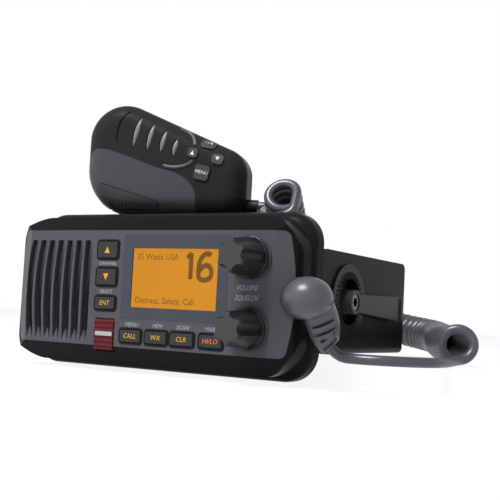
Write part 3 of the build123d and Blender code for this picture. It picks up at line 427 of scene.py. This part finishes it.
panel_paint, place, shader = finish("panel_paint", (0.058, 0.058, 0.066), 0.4,
                                    Specular_IOR_Level=0.12)
flakes = place.node("TexVoronoi", None, {"Vector": place, "Scale": 5200.0}, 1)
flake = place.node("SeparateColor", None, {"Color": flakes})
clouds = place.node("TexNoise", None, {"Vector": place, "Scale": 60.0, "Detail": 3.0})
tone = flake * 0.55 + clouds * 0.45
place.join(tone.blend((0.046, 0.046, 0.053), (0.068, 0.068, 0.079)), shader.inputs["Base Color"])
place.join(0.36 + flake * 0.10, shader.inputs["Roughness"])
peel = place.node("TexNoise", None, {"Vector": place, "Scale": 700.0, "Detail": 2.0})
raise_grain(place, shader, peel, 0.12)
dress(panel_paint, "front_panel")

# A raised strip of painted shade, darkest at the foot, lies along the right edge of each slot.
SHADE_DARK_Z = 0.026
SHADE_PALE_Z = 0.054
painted_bar_shade, place, shader = finish("painted_bar_shade", (0.010, 0.010, 0.012), 0.4, Specular_IOR_Level=0.05)
height = place.node("SeparateXYZ", None, {"Vector": place}, 2)
# The painted shade is darkest at the foot of the slot and grows paler towards its top.
fade = place.node("MapRange", None, {"Value": height, "From Min": SHADE_DARK_Z,
                                     "From Max": SHADE_PALE_Z})
speck = place.node("TexNoise", None, {"Vector": place, "Scale": 2600.0, "Detail": 2.0})
place.join(fade.blend((0.004, 0.004, 0.006), (0.040, 0.040, 0.045)), shader.inputs["Base Color"])
place.join(0.36 + speck * 0.1, shader.inputs["Roughness"])
raise_grain(place, shader, speck, 0.1)

SLOTS = 7
SLOT_FIRST_X = -71.75
SLOT_PITCH = 6.1
SLOT_W = 3.5
SLOT_TOP = 24.2
SLOT_FOOT = -27.6
SLOT_BOW = 3.2
SLOT_MIDDLE = (SLOT_TOP + SLOT_FOOT) / 2
SLOT_HALF = (SLOT_TOP - SLOT_FOOT) / 2
SHADE_W = 1.55
SHADE_INSET = 0.1
SHADE_ROOT = 0.1
SHADE_LIFT = 0.05
SHADE_TOP_W = 0.15
SHADE_TOP_TAPER = 5
SHADE_FOOT_W = 0.05
SHADE_FOOT_TAPER = 7
SHADE_STEPS = 14


def shade_strip(number):
    """A thin raised strip of painted shade along the right edge of one slot, which narrows at both ends.
    """
    right = SLOT_FIRST_X + number * SLOT_PITCH + SLOT_W / 2 - SHADE_INSET
    bow = SLOT_BOW * (1 - number / SLOTS)
    points = []
    for k in range(SHADE_STEPS + 1):
        z = SLOT_FOOT + (SLOT_TOP - SLOT_FOOT) * k / SHADE_STEPS
        x = right - bow * (1 - ((z - SLOT_MIDDLE) / SLOT_HALF) ** 2)
        wide = SHADE_W * min(1, SHADE_TOP_W + (SLOT_TOP - z) / SHADE_TOP_TAPER,
                             SHADE_FOOT_W + (z - SLOT_FOOT) / SHADE_FOOT_TAPER)
        points += [row(x, SHADE_ROOT, z), row(x, -SHADE_LIFT, z),
                   row(x + wide, -SHADE_LIFT, z), row(x + wide, SHADE_ROOT, z)]
    faces = [(4 * k + j, 4 * k + j + 1, 4 * k + j + 5, 4 * k + j + 4)
             for k in range(SHADE_STEPS) for j in range(3)]
    return mesh_piece(f"painted_bar_shade_{number + 1}", points, faces)


for i in range(SLOTS):
    shade = shade_strip(i)
    shade.data.materials.append(painted_bar_shade)
    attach(shade, "radio")

print_grey = mottled("print_grey", (0.20, 0.20, 0.21), 0.6, grain=5000, spread=0.2, depth=0.1)
PRINT_LIFT = 0.00004
LETTER_STEPS = 2


def lettering(name, words, size, middle, ink, body, across=(1, 0, 0), up=(0, 0, 1), slant=0.0,
              width=1.0, weight=0.0):
    """Words as flat ink on a surface, centred on a place, and riding on a body."""
    text = bpy.data.curves.new(name, "FONT")
    text.body = words
    text.size = size
    text.align_x = "CENTER"
    text.align_y = "CENTER"
    text.shear = slant
    text.offset = weight
    text.resolution_u = LETTER_STEPS
    source = bpy.data.objects.new(name + "_text", text)
    bpy.context.scene.collection.objects.link(source)
    mesh = bpy.data.meshes.new_from_object(source)
    bpy.data.objects.remove(source)
    bpy.data.curves.remove(text)
    across, up = Vector(across).normalized(), Vector(up).normalized()
    for vertex in mesh.vertices:
        vertex.co = Vector(middle) + across * vertex.co.x * width + up * vertex.co.y
    mesh.materials.append(ink)
    piece = bpy.data.objects.new(name, mesh)
    bpy.context.scene.collection.objects.link(piece)
    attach(piece, body)
    return piece


WORD_WEIGHT = 0.00005
SLANT = 0.3
KNOB_WORD, KNOB_WORDS_X = 0.0034, 61.8
SIDE_WORD, SIDE_WORDS_X = 0.0025, -21.4
KEY_WORD, KEY_WORDS_Z = 0.0029, -18.0
for name, words, size, x, z, slant, width in (
        ("volume_word", "VOLUME", KNOB_WORD, KNOB_WORDS_X, 2.3, SLANT, 0.86),
        ("squelch_word", "SQUELCH", KNOB_WORD, KNOB_WORDS_X, -2.4, SLANT, 0.82),
        ("channel_word", "CHANNEL", SIDE_WORD, SIDE_WORDS_X, 12.4, 0.0, 1.0),
        ("enter_word", "SELECT", SIDE_WORD, SIDE_WORDS_X, -2.0, 0.0, 1.0),
        ("menu_word", "MENU", KEY_WORD, -4.0, KEY_WORDS_Z, SLANT, 1.0),
        ("memory_word", "MEM", KEY_WORD, 11.7, KEY_WORDS_Z, SLANT, 1.0),
        ("scan_word", "SCAN", KEY_WORD, 27.0, KEY_WORDS_Z, SLANT, 1.0),
        ("mark_word", "MARK", KEY_WORD, 43.6, KEY_WORDS_Z, SLANT, 1.0)):
    word = lettering(name, words, size, row(x, 0, z) - Vector((0, PRINT_LIFT, 0)), print_grey, "radio",
                     slant=slant, width=width, weight=WORD_WEIGHT)


# ---------------------------------------------------------------- bezel, housing and gasket
# The bezel and the stepped housing behind it are black moulded plastic, the bezel polished and the
# housing fine-grained. A soft rubber gasket seals the two.

bezel_plastic = mottled("bezel_plastic", (0.007, 0.007, 0.007), 0.24, grain=1800, depth=0.05,
                        rubs=0.05, Specular_IOR_Level=0.02)
dress(bezel_plastic, "bezel")
housing_plastic = mottled("housing_plastic", (0.012, 0.012, 0.013), 0.28, grain=2600, depth=0.15,
                          Specular_IOR_Level=0.02)
dress(housing_plastic, "front_housing")
gasket_rubber = mottled("gasket_rubber", (0.008, 0.008, 0.008), 0.75, grain=1500, depth=0.2,
                        Specular_IOR_Level=0.1)
dress(gasket_rubber, "housing_gasket")


# ---------------------------------------------------------------- display
# A back-lit amber liquid-crystal glass sits behind a clear window in a satin grey frame. The digits
# and words are dark segments of the crystal itself.

display_trim = mottled("display_trim", (0.041, 0.044, 0.058), 0.36, grain=4200, depth=0.08,
                       Specular_IOR_Level=0.15)
dress(display_trim, "display_frame")

lcd_amber, place, shader = finish("lcd_amber", (0.06, 0.02, 0.002), 0.5, Emission_Strength=1.0,
                                  Specular_IOR_Level=0.1)
pixels = place.node("TexChecker", None, {"Vector": place, "Scale": 1600.0}, 1)
spread = place.node("TexNoise", None, {"Vector": place, "Scale": 22.0, "Detail": 1.0})
glow = (spread * 0.8 + pixels * 0.08).blend((0.52, 0.205, 0.008), (0.68, 0.290, 0.020))
place.join(glow, shader.inputs["Emission Color"])
dress(lcd_amber, "lcd_module")

lens_glass, place, shader = finish("lens_glass", (0.02, 0.02, 0.02), 0.05, Specular_IOR_Level=0.5)
dust = place.node("TexNoise", None, {"Vector": place, "Scale": 900.0, "Detail": 5.0})
place.join(0.05 + (dust > 0.7) * 0.04, shader.inputs["Alpha"])
place.join(0.03 + dust * 0.05, shader.inputs["Roughness"])
dress(lens_glass, "display_lens")


UNLIT_SHARE = 0.1
DIM_SHARE = 0.75


def lit_ink(name, colour):
    """Translucent ink with lamps behind it, which shine through a little unevenly."""
    unlit = tuple(c * UNLIT_SHARE for c in colour)
    dim = tuple(c * DIM_SHARE for c in colour)
    material, place, shader = finish(name, unlit, 0.5, Emission_Strength=1.0, Specular_IOR_Level=0.1)
    spots = place.node("TexNoise", None, {"Vector": place, "Scale": 500.0, "Detail": 2.0})
    place.join(spots.blend(dim, colour), shader.inputs["Emission Color"])
    place.join(0.45 + spots * 0.1, shader.inputs["Roughness"])
    return material


crystal_dark = lit_ink("crystal_dark", (0.19, 0.083, 0.014))
crystal_thin = lit_ink("crystal_thin", (0.26, 0.112, 0.016))
LCD_DEPTH = 0.72
INK_DEPTH = 0.66
low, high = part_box("display_lens")
corners = ((low.x, low.z), (high.x, low.z), (high.x, high.z), (low.x, high.z))
picture = mesh_piece("lcd_picture", [(x, row(0, LCD_DEPTH, 0).y, z) for x, z in corners], [(0, 1, 2, 3)])
picture.data.materials.append(lcd_amber)
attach(picture, "radio")


def ribbon(name, route, width, depth, ink):
    """A flat stroke of even width, in mm, along a smooth curve, at a depth behind the panel's face."""
    line = traced([row(x, depth, z) for x, z in route])
    sides = []
    for i, place in enumerate(line):
        along = (line[min(i + 1, len(line) - 1)] - line[max(i - 1, 0)]).normalized()
        across = Vector((-along.z, 0, along.x)) * (width / 2000)
        sides += [place - across, place + across]
    piece = mesh_piece(name, sides, [(i, i + 1, i + 3, i + 2) for i in range(0, len(sides) - 2, 2)])
    piece.data.materials.append(ink)
    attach(piece, "radio")


DIGIT_STROKE = 2.5
FLAG_STROKE = DIGIT_STROKE * 0.8
FLAG_DEPTH = INK_DEPTH - 0.01
ONE_STEM = [(29.4, 5.6), (29.4, 11.3), (29.4, 18.4)]
ONE_FLAG = [(26.8, 16.1), (28.0, 16.9), (29.5, 18.4)]
SIX = [(40.7, 17.2), (39.2, 18.6), (35.4, 16.7), (34.2, 13.5), (33.8, 9.6), (34.2, 6.0),
       (37.6, 5.1), (41.2, 6.4), (41.4, 10.4), (39.4, 12.7), (36.2, 12.2), (34.1, 9.3)]
ribbon("digit_one", ONE_STEM, DIGIT_STROKE, INK_DEPTH, crystal_dark)
ribbon("digit_one_flag", ONE_FLAG, FLAG_STROKE, FLAG_DEPTH, crystal_dark)
ribbon("digit_six", SIX, DIGIT_STROKE, INK_DEPTH, crystal_dark)

DISPLAY_WORD = 0.0043
DISPLAY_WEIGHT = 0.00004
for name, words, x, z in (("power_words", "25 Watts USA", 9.3, 16.1),
                          ("call_words", "Distress, Safety, Call", 14.6, -5.6)):
    place = row(x, INK_DEPTH, z)
    line = lettering(name, words, DISPLAY_WORD, place, crystal_thin, "radio", weight=DISPLAY_WEIGHT)


# ---------------------------------------------------------------- keys
# Satin grey silicone keys in raised black frames. Their legends are clear areas lit from behind in
# amber, and the last function key's is lit in orange.

key_plastic = mottled("key_plastic", (0.028, 0.028, 0.030), 0.5, grain=3000, depth=0.15,
                      Specular_IOR_Level=0.12)
FUNCTION_KEYS = [f"function_key_{i}" for i in range(1, 5)]
KEY_NAMES = ["channel_up_key", "channel_down_key", "enter_key"] + FUNCTION_KEYS
dress(key_plastic, *KEY_NAMES)
surround_plastic = mottled("surround_plastic", (0.007, 0.007, 0.008), 0.35, grain=2500, depth=0.1,
                           Specular_IOR_Level=0.12)
amber_light = lit_ink("amber_light", (0.80, 0.42, 0.035))
orange_light = lit_ink("orange_light", (0.95, 0.20, 0.02))


def rounded_loop(x, z, y, r, steps=5):
    """The corners of a rounded rectangle between limits in X and Z, at one depth."""
    corners = ((x[1] - r, z[1] - r, 0), (x[0] + r, z[1] - r, 90), (x[0] + r, z[0] + r, 180),
               (x[1] - r, z[0] + r, 270))
    turns = [(cx, cz, radians(a + 90 * i / steps)) for cx, cz, a in corners for i in range(steps + 1)]
    return [Vector((cx + r * cos(turn), y, cz + r * sin(turn))) for cx, cz, turn in turns]


def lofted(name, loops, closed_ring=False, caps=False, smooth=False):
    """A skin over loops of equally many points."""
    count = len(loops[0])
    points = [p for loop in loops for p in loop]
    pairs = len(loops) if closed_ring else len(loops) - 1
    faces = []
    for i in range(pairs):
        a, b = i * count, (i + 1) % len(loops) * count
        for j in range(count):
            k = (j + 1) % count
            faces.append((a + j, a + k, b + k, b + j))
    if caps:
        faces += [tuple(range(count))[::-1], tuple(range(len(points) - count, len(points)))]
    return mesh_piece(name, points, faces, smooth)


FRAME_RISE = 0.00035
FRAME_EDGE = FRAME_RISE * 0.7
FRAME_ROOT = -0.0004
FRAME_WIDTH = 0.0011
FRAME_SLOPE = 0.00025
FRAME_GAP = 0.0003
FRAME_CORNER = 0.0008
KEY_LIP = 0.0008


def key_frame(key):
    """A raised frame with chamfered edges, just outside the key's opening."""
    low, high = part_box(key)
    x, z = (low.x + KEY_LIP, high.x - KEY_LIP), (low.z + KEY_LIP, high.z - KEY_LIP)
    face = row(0, 0, 0).y
    loops = []
    for out, lift in ((FRAME_GAP, FRAME_ROOT), (FRAME_GAP, FRAME_EDGE), (FRAME_GAP * 2, FRAME_RISE),
                      (FRAME_WIDTH, FRAME_RISE), (FRAME_WIDTH + FRAME_SLOPE, 0.0),
                      (FRAME_WIDTH, FRAME_ROOT)):
        grown_x, grown_z = (x[0] - out, x[1] + out), (z[0] - out, z[1] + out)
        loops.append(rounded_loop(grown_x, grown_z, face - lift, FRAME_CORNER + out))
    piece = lofted(key + "_frame", loops, closed_ring=True)
    piece.data.materials.append(surround_plastic)
    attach(piece, "radio")


def legend_place(key):
    """The middle of a key's face, just in front of it."""
    low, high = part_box(key)
    return Vector(((low.x + high.x) / 2, low.y - PRINT_LIFT, (low.z + high.z) / 2))


for key in KEY_NAMES:
    key_frame(key)


def arrow(name, middle, size, up, ink, body, across=(1, 0, 0), rise=(0, 0, 1)):
    """A small triangle that points up or down."""
    sign = 1 if up else -1
    corners = [(-0.5, -0.5 * sign), (0.5, -0.5 * sign), (0, 0.5 * sign)]
    points = [middle + Vector(across) * (u * size) + Vector(rise) * (v * size) for u, v in corners]
    piece = mesh_piece(name, points, [(0, 1, 2)])
    piece.data.materials.append(ink)
    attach(piece, body)


LEGEND = 0.0034
LEGEND_SLANT = 0.15
for name, key, up in (("up_arrow", "channel_up_key", True), ("down_arrow", "channel_down_key", False)):
    arrow(name, legend_place(key), LEGEND, up, amber_light, key)
for key, words, ink in (("enter_key", "ENT", amber_light), ("function_key_1", "CALL", amber_light),
                        ("function_key_2", "WX", amber_light), ("function_key_3", "CLR", amber_light),
                        ("function_key_4", "HI/LO", orange_light)):
    legend = lettering(key + "_legend", words, LEGEND, legend_place(key), ink, key, slant=LEGEND_SLANT)


# ---------------------------------------------------------------- distress flap and button
# A clear red moulded flap with fine ribs and a plain white bar snaps over a red button. It turns on
# a drawn steel pin.

flap_red, place, shader = finish("flap_red", (0.085, 0.012, 0.014), 0.22, Specular_IOR_Level=0.12)
ribs = place.node("TexWave", {"bands_direction": "Z"}, {"Vector": place, "Scale": 130.0})
place.join(ribs.blend((0.042, 0.006, 0.008), (0.105, 0.013, 0.018)), shader.inputs["Base Color"])
raise_grain(place, shader, ribs, 0.4, GRAIN_HEIGHT * 2)
cloud = place.node("TexNoise", None, {"Vector": place, "Scale": 400.0})
place.join(0.18 + cloud * 0.1, shader.inputs["Roughness"])
dress(flap_red, "distress_flap")
distress_red = mottled("distress_red", (0.35, 0.015, 0.012), 0.4, grain=2500, depth=0.1)
dress(distress_red, "distress_button")
pin_steel = mottled("pin_steel", (0.5, 0.5, 0.5), 0.3, grain=3000, depth=0.1, Metallic=1.0)
dress(pin_steel, "hinge_pin")

white_print = mottled("white_print", (0.28, 0.28, 0.30), 0.5, grain=3500, spread=0.15, depth=0.1)
BAR_MARGIN = 0.0006
BAR_CORNER = 0.0004
BAR_FOOT = -24.3
BAR_TOP = -22.2
BAR_BACK = 0.0003
BAR_FRONT = -0.00002
low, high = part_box("distress_flap")
bar_x = (low.x + BAR_MARGIN, high.x - BAR_MARGIN)
bar_z = (row(0, 0, BAR_FOOT).z, row(0, 0, BAR_TOP).z)
bar = lofted("flap_bar", [rounded_loop(bar_x, bar_z, low.y + y, BAR_CORNER)
                          for y in (BAR_BACK, BAR_FRONT)], caps=True)
bar.data.materials.append(white_print)
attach(bar, "distress_flap")


# ---------------------------------------------------------------- knobs and controls
# Fluted knobs moulded in satin black, with a rougher front face painted paler as painted light on the
# lit front, pushed on the steel shafts of two rotary controls.

knob_plastic, place, shader = finish("knob_plastic", (0.03, 0.03, 0.033), 0.36, Specular_IOR_Level=0.18)
KNOB_FACE_DEPTH = -18.4
depth = place.node("SeparateXYZ", None, {"Vector": place}, 1)
near = depth < row(0, KNOB_FACE_DEPTH, 0).y
grain = place.node("TexNoise", None, {"Vector": place, "Scale": 2600.0, "Detail": 3.0})
# The front face is painted paler, as painted light falling on it, and made rougher.
place.join(near.blend((0.016, 0.016, 0.017), (0.038, 0.038, 0.040)), shader.inputs["Base Color"])
place.join(0.28 + near * 0.14 + grain * 0.08, shader.inputs["Roughness"])
raise_grain(place, shader, grain, 0.12)
dress(knob_plastic, "volume_knob", "squelch_knob")
control_steel = mottled("control_steel", (0.45, 0.45, 0.46), 0.32, grain=2500, depth=0.1, Metallic=1.0)
dress(control_steel, "volume_control", "squelch_control")


# ---------------------------------------------------------------- loudspeaker and boards
# A pressed steel loudspeaker sits behind black woven cloth. The laminate boards are green, and the
# key mat between panel and board is grey silicone.

cloth_fabric, place, shader = finish("cloth_fabric", (0.010, 0.010, 0.010), 0.9)
warp = place.node("TexWave", {"bands_direction": "X"}, {"Vector": place, "Scale": 480.0})
weft = place.node("TexWave", {"bands_direction": "Z"}, {"Vector": place, "Scale": 480.0})
weave = warp * weft
place.join(weave.blend((0.004, 0.004, 0.004), (0.022, 0.022, 0.022)), shader.inputs["Base Color"])
raise_grain(place, shader, weave, 0.6, GRAIN_HEIGHT * 2)
dress(cloth_fabric, "speaker_cloth")
speaker_steel = mottled("speaker_steel", (0.30, 0.30, 0.31), 0.4, grain=2000, depth=0.15, Metallic=1.0)
dress(speaker_steel, "loudspeaker")

board_laminate, place, shader = finish("board_laminate", (0.012, 0.11, 0.045), 0.35)
tracks = place.node("TexBrick", None, {"Vector": place, "Scale": 260.0, "Mortar Size": 0.06,
                                       "Color1": (0.010, 0.095, 0.038), "Color2": (0.014, 0.12, 0.05),
                                       "Mortar": (0.05, 0.20, 0.08)})
place.join(tracks, shader.inputs["Base Color"])
cloud = place.node("TexNoise", None, {"Vector": place, "Scale": 300.0})
place.join(0.28 + cloud * 0.14, shader.inputs["Roughness"])
dress(board_laminate, "panel_board", "main_board")
black_laminate = mottled("black_laminate", (0.004, 0.004, 0.004), 0.6, grain=1500, depth=0.2,
                         Specular_IOR_Level=0.05)
dress(black_laminate, "mic_board")
mat_rubber = mottled("mat_rubber", (0.16, 0.16, 0.16), 0.65, grain=1500, depth=0.15)
dress(mat_rubber, "key_mat")


# ---------------------------------------------------------------- chassis and its cover
# The chassis is an aluminium die casting with cooling fins, powder coated black, and its bottom
# cover is black painted sheet held by four plain screws.

chassis_cast = mottled("chassis_cast", (0.012, 0.012, 0.013), 0.55, grain=1300, depth=0.6,
                       Specular_IOR_Level=0.2)
dress(chassis_cast, "chassis")
cover_sheet = mottled("cover_sheet", (0.014, 0.014, 0.015), 0.45, grain=2200, depth=0.2,
                      Specular_IOR_Level=0.2)
dress(cover_sheet, "bottom_cover")
screw_steel = mottled("screw_steel", (0.42, 0.42, 0.43), 0.3, grain=2400, depth=0.1, Metallic=1.0)
dress(screw_steel, "cover_screws", "mic_screws")
insert_brass = mottled("insert_brass", (0.60, 0.42, 0.16), 0.3, grain=2400, depth=0.1, Metallic=1.0)
dress(insert_brass, "pivot_inserts")


# ---------------------------------------------------------------- sockets on the back
# A plated coaxial socket for the antenna, with a screw thread on its barrel, and a black moulded
# power inlet with two pins.

socket_chrome = mottled("socket_chrome", (0.62, 0.62, 0.63), 0.18, grain=2200, depth=0.06, Metallic=1.0)
dress(socket_chrome, "antenna_socket")
inlet_plastic = mottled("inlet_plastic", (0.016, 0.016, 0.017), 0.5, grain=2400, depth=0.2)
dress(inlet_plastic, "power_inlet")

THREAD_PITCH = 0.00106
THREAD_STEPS = 24
THREAD_H = 0.00035
THREAD_ROOT = 0.0001
THREAD_HALF = THREAD_PITCH * 0.42
THREAD_END = 0.0012
PLAIN_BARREL = 0.0045
BARREL_R = 0.008
low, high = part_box("antenna_socket")
barrel_x = (low.x + high.x) / 2
barrel_z = (low.z + high.z) / 2


def thread_ring(angle, y):
    """One three-sided section of the thread's ridge."""
    out = Vector((cos(angle), 0, sin(angle)))
    middle = Vector((barrel_x, y, barrel_z)) + out * BARREL_R
    half = Vector((0, THREAD_HALF, 0))
    root = middle - out * THREAD_ROOT
    return [root - half, middle + out * THREAD_H, root + half]


turns = int((high.y - low.y - PLAIN_BARREL) / THREAD_PITCH)
thread_start = high.y - THREAD_END - turns * THREAD_PITCH
sections = [thread_ring(2 * pi * k / THREAD_STEPS, thread_start + k * THREAD_PITCH / THREAD_STEPS)
            for k in range(turns * THREAD_STEPS)]
thread = lofted("antenna_thread", sections, caps=True)
thread.data.materials.append(socket_chrome)
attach(thread, "radio")


# ---------------------------------------------------------------- bracket, rings and levers
# A bracket of folded steel sheet, powder coated black, on four rubber pads. Toothed plastic rings
# are pressed into its arms, and plastic clamp levers turn on socket-head screws.

bracket_paint = mottled("bracket_paint", (0.012, 0.012, 0.013), 0.36, grain=900, depth=0.15,
                        Specular_IOR_Level=0.04)
dress(bracket_paint, "bracket")
pad_rubber = mottled("pad_rubber", (0.02, 0.02, 0.02), 0.8, grain=1500, depth=0.3)
dress(pad_rubber, "mounting_pads")
ring_plastic = mottled("ring_plastic", (0.012, 0.012, 0.014), 0.24, grain=2600, depth=0.1,
                       Specular_IOR_Level=0.08)
dress(ring_plastic, "ratchet_ring_right", "ratchet_ring_left")
lever_plastic = mottled("lever_plastic", (0.042, 0.042, 0.047), 0.34, grain=2600, depth=0.1,
                        Specular_IOR_Level=0.08)
dress(lever_plastic, "clamp_lever_right", "clamp_lever_left")
clamp_steel = mottled("clamp_steel", (0.16, 0.16, 0.17), 0.3, grain=2400, depth=0.1, Metallic=1.0)
dress(clamp_steel, "clamp_screw_right", "clamp_screw_left")


# ---------------------------------------------------------------- cord outlet
# A plastic collar on the panel's cheek carries a moulded grey rubber boot. A ball at its top turns
# the cord down into a slotted neck that can bend, and the moulding flattens the ball a little.

boot_rubber = mottled("boot_rubber", (0.060, 0.059, 0.068), 0.34, grain=2800, depth=0.1,
                      Specular_IOR_Level=0.45)
BALL_Z = -1.2
BALL_R = 11.4
BALL_SQUASH = 0.85
ball_middle = row(0, 0, BALL_Z).z
ball_foot = row(0, 0, BALL_Z - BALL_R).z
neck_top = ball_middle + (ball_foot - ball_middle) * BALL_SQUASH
neck_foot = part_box("cord_boot")[0].z


def squashed(z):
    """A height of the moulding, with its ball flattened and its neck drawn up to meet it."""
    if z > ball_foot:
        return ball_middle + (z - ball_middle) * BALL_SQUASH
    return neck_foot + (z - neck_foot) * (neck_top - neck_foot) / (ball_foot - neck_foot)


boot = bpy.data.objects.new("boot_moulding", nodes["cord_boot"].data.copy())
bpy.context.scene.collection.objects.link(boot)
for vertex in boot.data.vertices:
    vertex.co.z = squashed(vertex.co.z)
boot.data.materials.clear()
boot.data.materials.append(boot_rubber)
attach(boot, "radio")
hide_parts("cord_boot")
collar_plastic = mottled("collar_plastic", (0.05, 0.05, 0.056), 0.3, grain=2600, depth=0.1,
                         Specular_IOR_Level=0.25)
dress(collar_plastic, "cord_collar")


# ---------------------------------------------------------------- hand microphone
# Two black moulded shells screwed together from the back, with a satin grey grip panel, a ribbed
# press-to-talk bar, rubber keys with white legends, and a steel stud that hangs it on a clip.

mic_plastic = mottled("mic_plastic", (0.019, 0.019, 0.020), 0.27, grain=2400, depth=0.06, rubs=0.05,
                      Specular_IOR_Level=0.015)
dress(mic_plastic, "mic_front_shell", "mic_rear_shell")
grip_plastic = mottled("grip_plastic", (0.046, 0.046, 0.051), 0.38, grain=3000, depth=0.1,
                       Specular_IOR_Level=0.12)
dress(grip_plastic, "mic_grip_panel")
ptt_plastic = mottled("ptt_plastic", (0.034, 0.034, 0.038), 0.38, grain=3000, depth=0.12,
                      Specular_IOR_Level=0.12)
dress(ptt_plastic, "mic_ptt_bar")
mic_key_rubber = mottled("mic_key_rubber", (0.040, 0.040, 0.044), 0.5, grain=2600, depth=0.15,
                         Specular_IOR_Level=0.15)
MIC_KEYS = ("mic_channel_key", "mic_up_key", "mic_down_key", "mic_menu_key")
dress(mic_key_rubber, *MIC_KEYS)
relief_rubber = mottled("relief_rubber", (0.012, 0.012, 0.013), 0.45, grain=2000, depth=0.2,
                        Specular_IOR_Level=0.2)
dress(relief_rubber, "mic_relief")
stud_steel = mottled("stud_steel", (0.5, 0.5, 0.51), 0.25, grain=2400, depth=0.08, Metallic=1.0)
dress(stud_steel, "hang_button")
capsule_steel = mottled("capsule_steel", (0.45, 0.45, 0.46), 0.3, grain=2400, depth=0.1, Metallic=1.0)
dress(capsule_steel, "mic_capsule")

MIC_PLACE = row(-15, 48, 41)
MIC_YAW = radians(18)
RAY_START = 0.05
MIC_ACROSS = Vector((cos(MIC_YAW), sin(MIC_YAW), 0))
MIC_BACK = Vector((-sin(MIC_YAW), cos(MIC_YAW), 0))


def mic_surface(node):
    """A function that finds the front of a piece of the microphone at a place across and up it."""
    tree = BVHTree.FromObject(nodes[node], bpy.context.evaluated_depsgraph_get())

    def touch(u, z):
        start = MIC_PLACE + MIC_ACROSS * (u / 1000) + Vector((0, 0, z / 1000)) - MIC_BACK * RAY_START
        return tree.ray_cast(start, MIC_BACK)[0]
    return touch


white_ink = mottled("white_ink", (0.55, 0.55, 0.57), 0.5, grain=4000, spread=0.12, depth=0.1)
KEY_LEAN = radians(-11)
LEAN_ACROSS = MIC_ACROSS * cos(KEY_LEAN) + Vector((0, 0, sin(KEY_LEAN)))
LEAN_UP = Vector((0, 0, cos(KEY_LEAN))) - MIC_ACROSS * sin(KEY_LEAN)
MIC_LIFT = MIC_BACK * PRINT_LIFT * 2
MIC_ARROW = 0.0024
MIC_WORD = 0.0026
for key, u, z, up in (("mic_up_key", 12.6, 34.0, True), ("mic_down_key", 26.4, 30.8, False)):
    spot = mic_surface(key)(u, z) - MIC_LIFT
    arrow(key + "_arrow", spot, MIC_ARROW, up, white_ink, key, LEAN_ACROSS, LEAN_UP)
for key, u, z, words in (("mic_channel_key", 20.4, 39.6, "16/9"), ("mic_menu_key", 18.2, 23.4, "MENU")):
    spot = mic_surface(key)(u, z) - MIC_LIFT
    legend = lettering(key + "_legend", words, MIC_WORD, spot, white_ink, key, LEAN_ACROSS, LEAN_UP)

# The fins in the grille slots are pale grey, a painted highlight standing in for lit slot walls.
fin_painted_highlight = mottled("fin_painted_highlight", (0.15, 0.15, 0.155), 0.36, grain=2800, depth=0.1,
                      Specular_IOR_Level=0.3)
ridge_painted_highlight = mottled("ridge_painted_highlight", (0.046, 0.046, 0.050), 0.34, grain=2800, depth=0.1,
                        Specular_IOR_Level=0.25)
FIN_STEPS = 14
FIN_SIDES = 12
FIN_R = 0.0015
FIN_SINK = 0.0008
FIN_SHIFT = 0.0002
FIN_REST = 2.8
FIN_END = 0.04
FIN_ROUND = 0.8
FINS = (((-17.9, 54.3), (-21.9, 36.3)), ((-10.4, 50.5), (-13.7, 35.0)),
        ((-3.3, 46.7), (-6.0, 33.7)), ((3.2, 41.8), (1.3, 31.9)))
touch = mic_surface("mic_front_shell")


def fin_section(top, foot, share):
    """One round section of a fin, at a share of the way from its top to its foot."""
    u, z = top[0] + (foot[0] - top[0]) * share, top[1] + (foot[1] - top[1]) * share
    middle = (touch(u - FIN_REST, z) + touch(u + FIN_REST, z)) / 2
    middle += MIC_BACK * FIN_SINK + MIC_ACROSS * FIN_SHIFT
    r = FIN_R * sin(pi * share) ** FIN_ROUND
    return [middle + MIC_ACROSS * (r * cos(2 * pi * j / FIN_SIDES))
            + MIC_BACK * (r * sin(2 * pi * j / FIN_SIDES)) for j in range(FIN_SIDES)]


for i, (top, foot) in enumerate(FINS):
    sections = [fin_section(top, foot, FIN_END + (1 - 2 * FIN_END) * k / FIN_STEPS)
                for k in range(FIN_STEPS + 1)]
    fin = lofted(f"mic_fin_{i + 1}", sections, caps=True, smooth=True)
    fin.data.materials.append(fin_painted_highlight)
    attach(fin, "handset")

# The raised ridges are a paler grey than the shell, a painted highlight along the border by the keys.
RIDGE_R = 0.0012
RIDGE_SINK = 0.0005
RIDGE_STEPS = 6
RIDGES = {"mic_ridge_upper": [(3.4, 47.6), (7.0, 46.4), (10.2, 44.4), (12.4, 41.4), (13.4, 38.0)],
          "mic_ridge_lower": [(13.0, 30.0), (11.2, 28.2), (8.2, 26.8), (4.2, 25.9), (-0.6, 26.0),
                              (-3.6, 26.8)]}
for name, places in RIDGES.items():
    spine = [touch(u, z) + MIC_BACK * RIDGE_SINK for u, z in places]
    ridge = tube(name, spine, RIDGE_R, RIDGE_STEPS)
    ridge.data.materials.append(ridge_painted_highlight)
    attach(ridge, "handset")

RIB_COUNT = 9
RIB_PLACES = 5
RIB_STEPS = 3
RIB_R = 0.0005
RIB_FIRST = -33.5
RIB_PITCH = 1.9
RIB_FOOT = 3.4
RIB_TOP = 8.6
RIB_FALL = 0.2
touch = mic_surface("mic_ptt_bar")
for i in range(RIB_COUNT):
    u = RIB_FIRST + i * RIB_PITCH
    top = RIB_TOP - i * RIB_FALL
    spine = [touch(u, RIB_FOOT + (top - RIB_FOOT) * k / RIB_PLACES) for k in range(RIB_PLACES + 1)]
    rib = tube(f"talk_bar_rib_{i + 1}", [p for p in spine if p], RIB_R, RIB_STEPS)
    rib.data.materials.append(ptt_plastic)
    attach(rib, "mic_ptt_bar")


low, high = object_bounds()
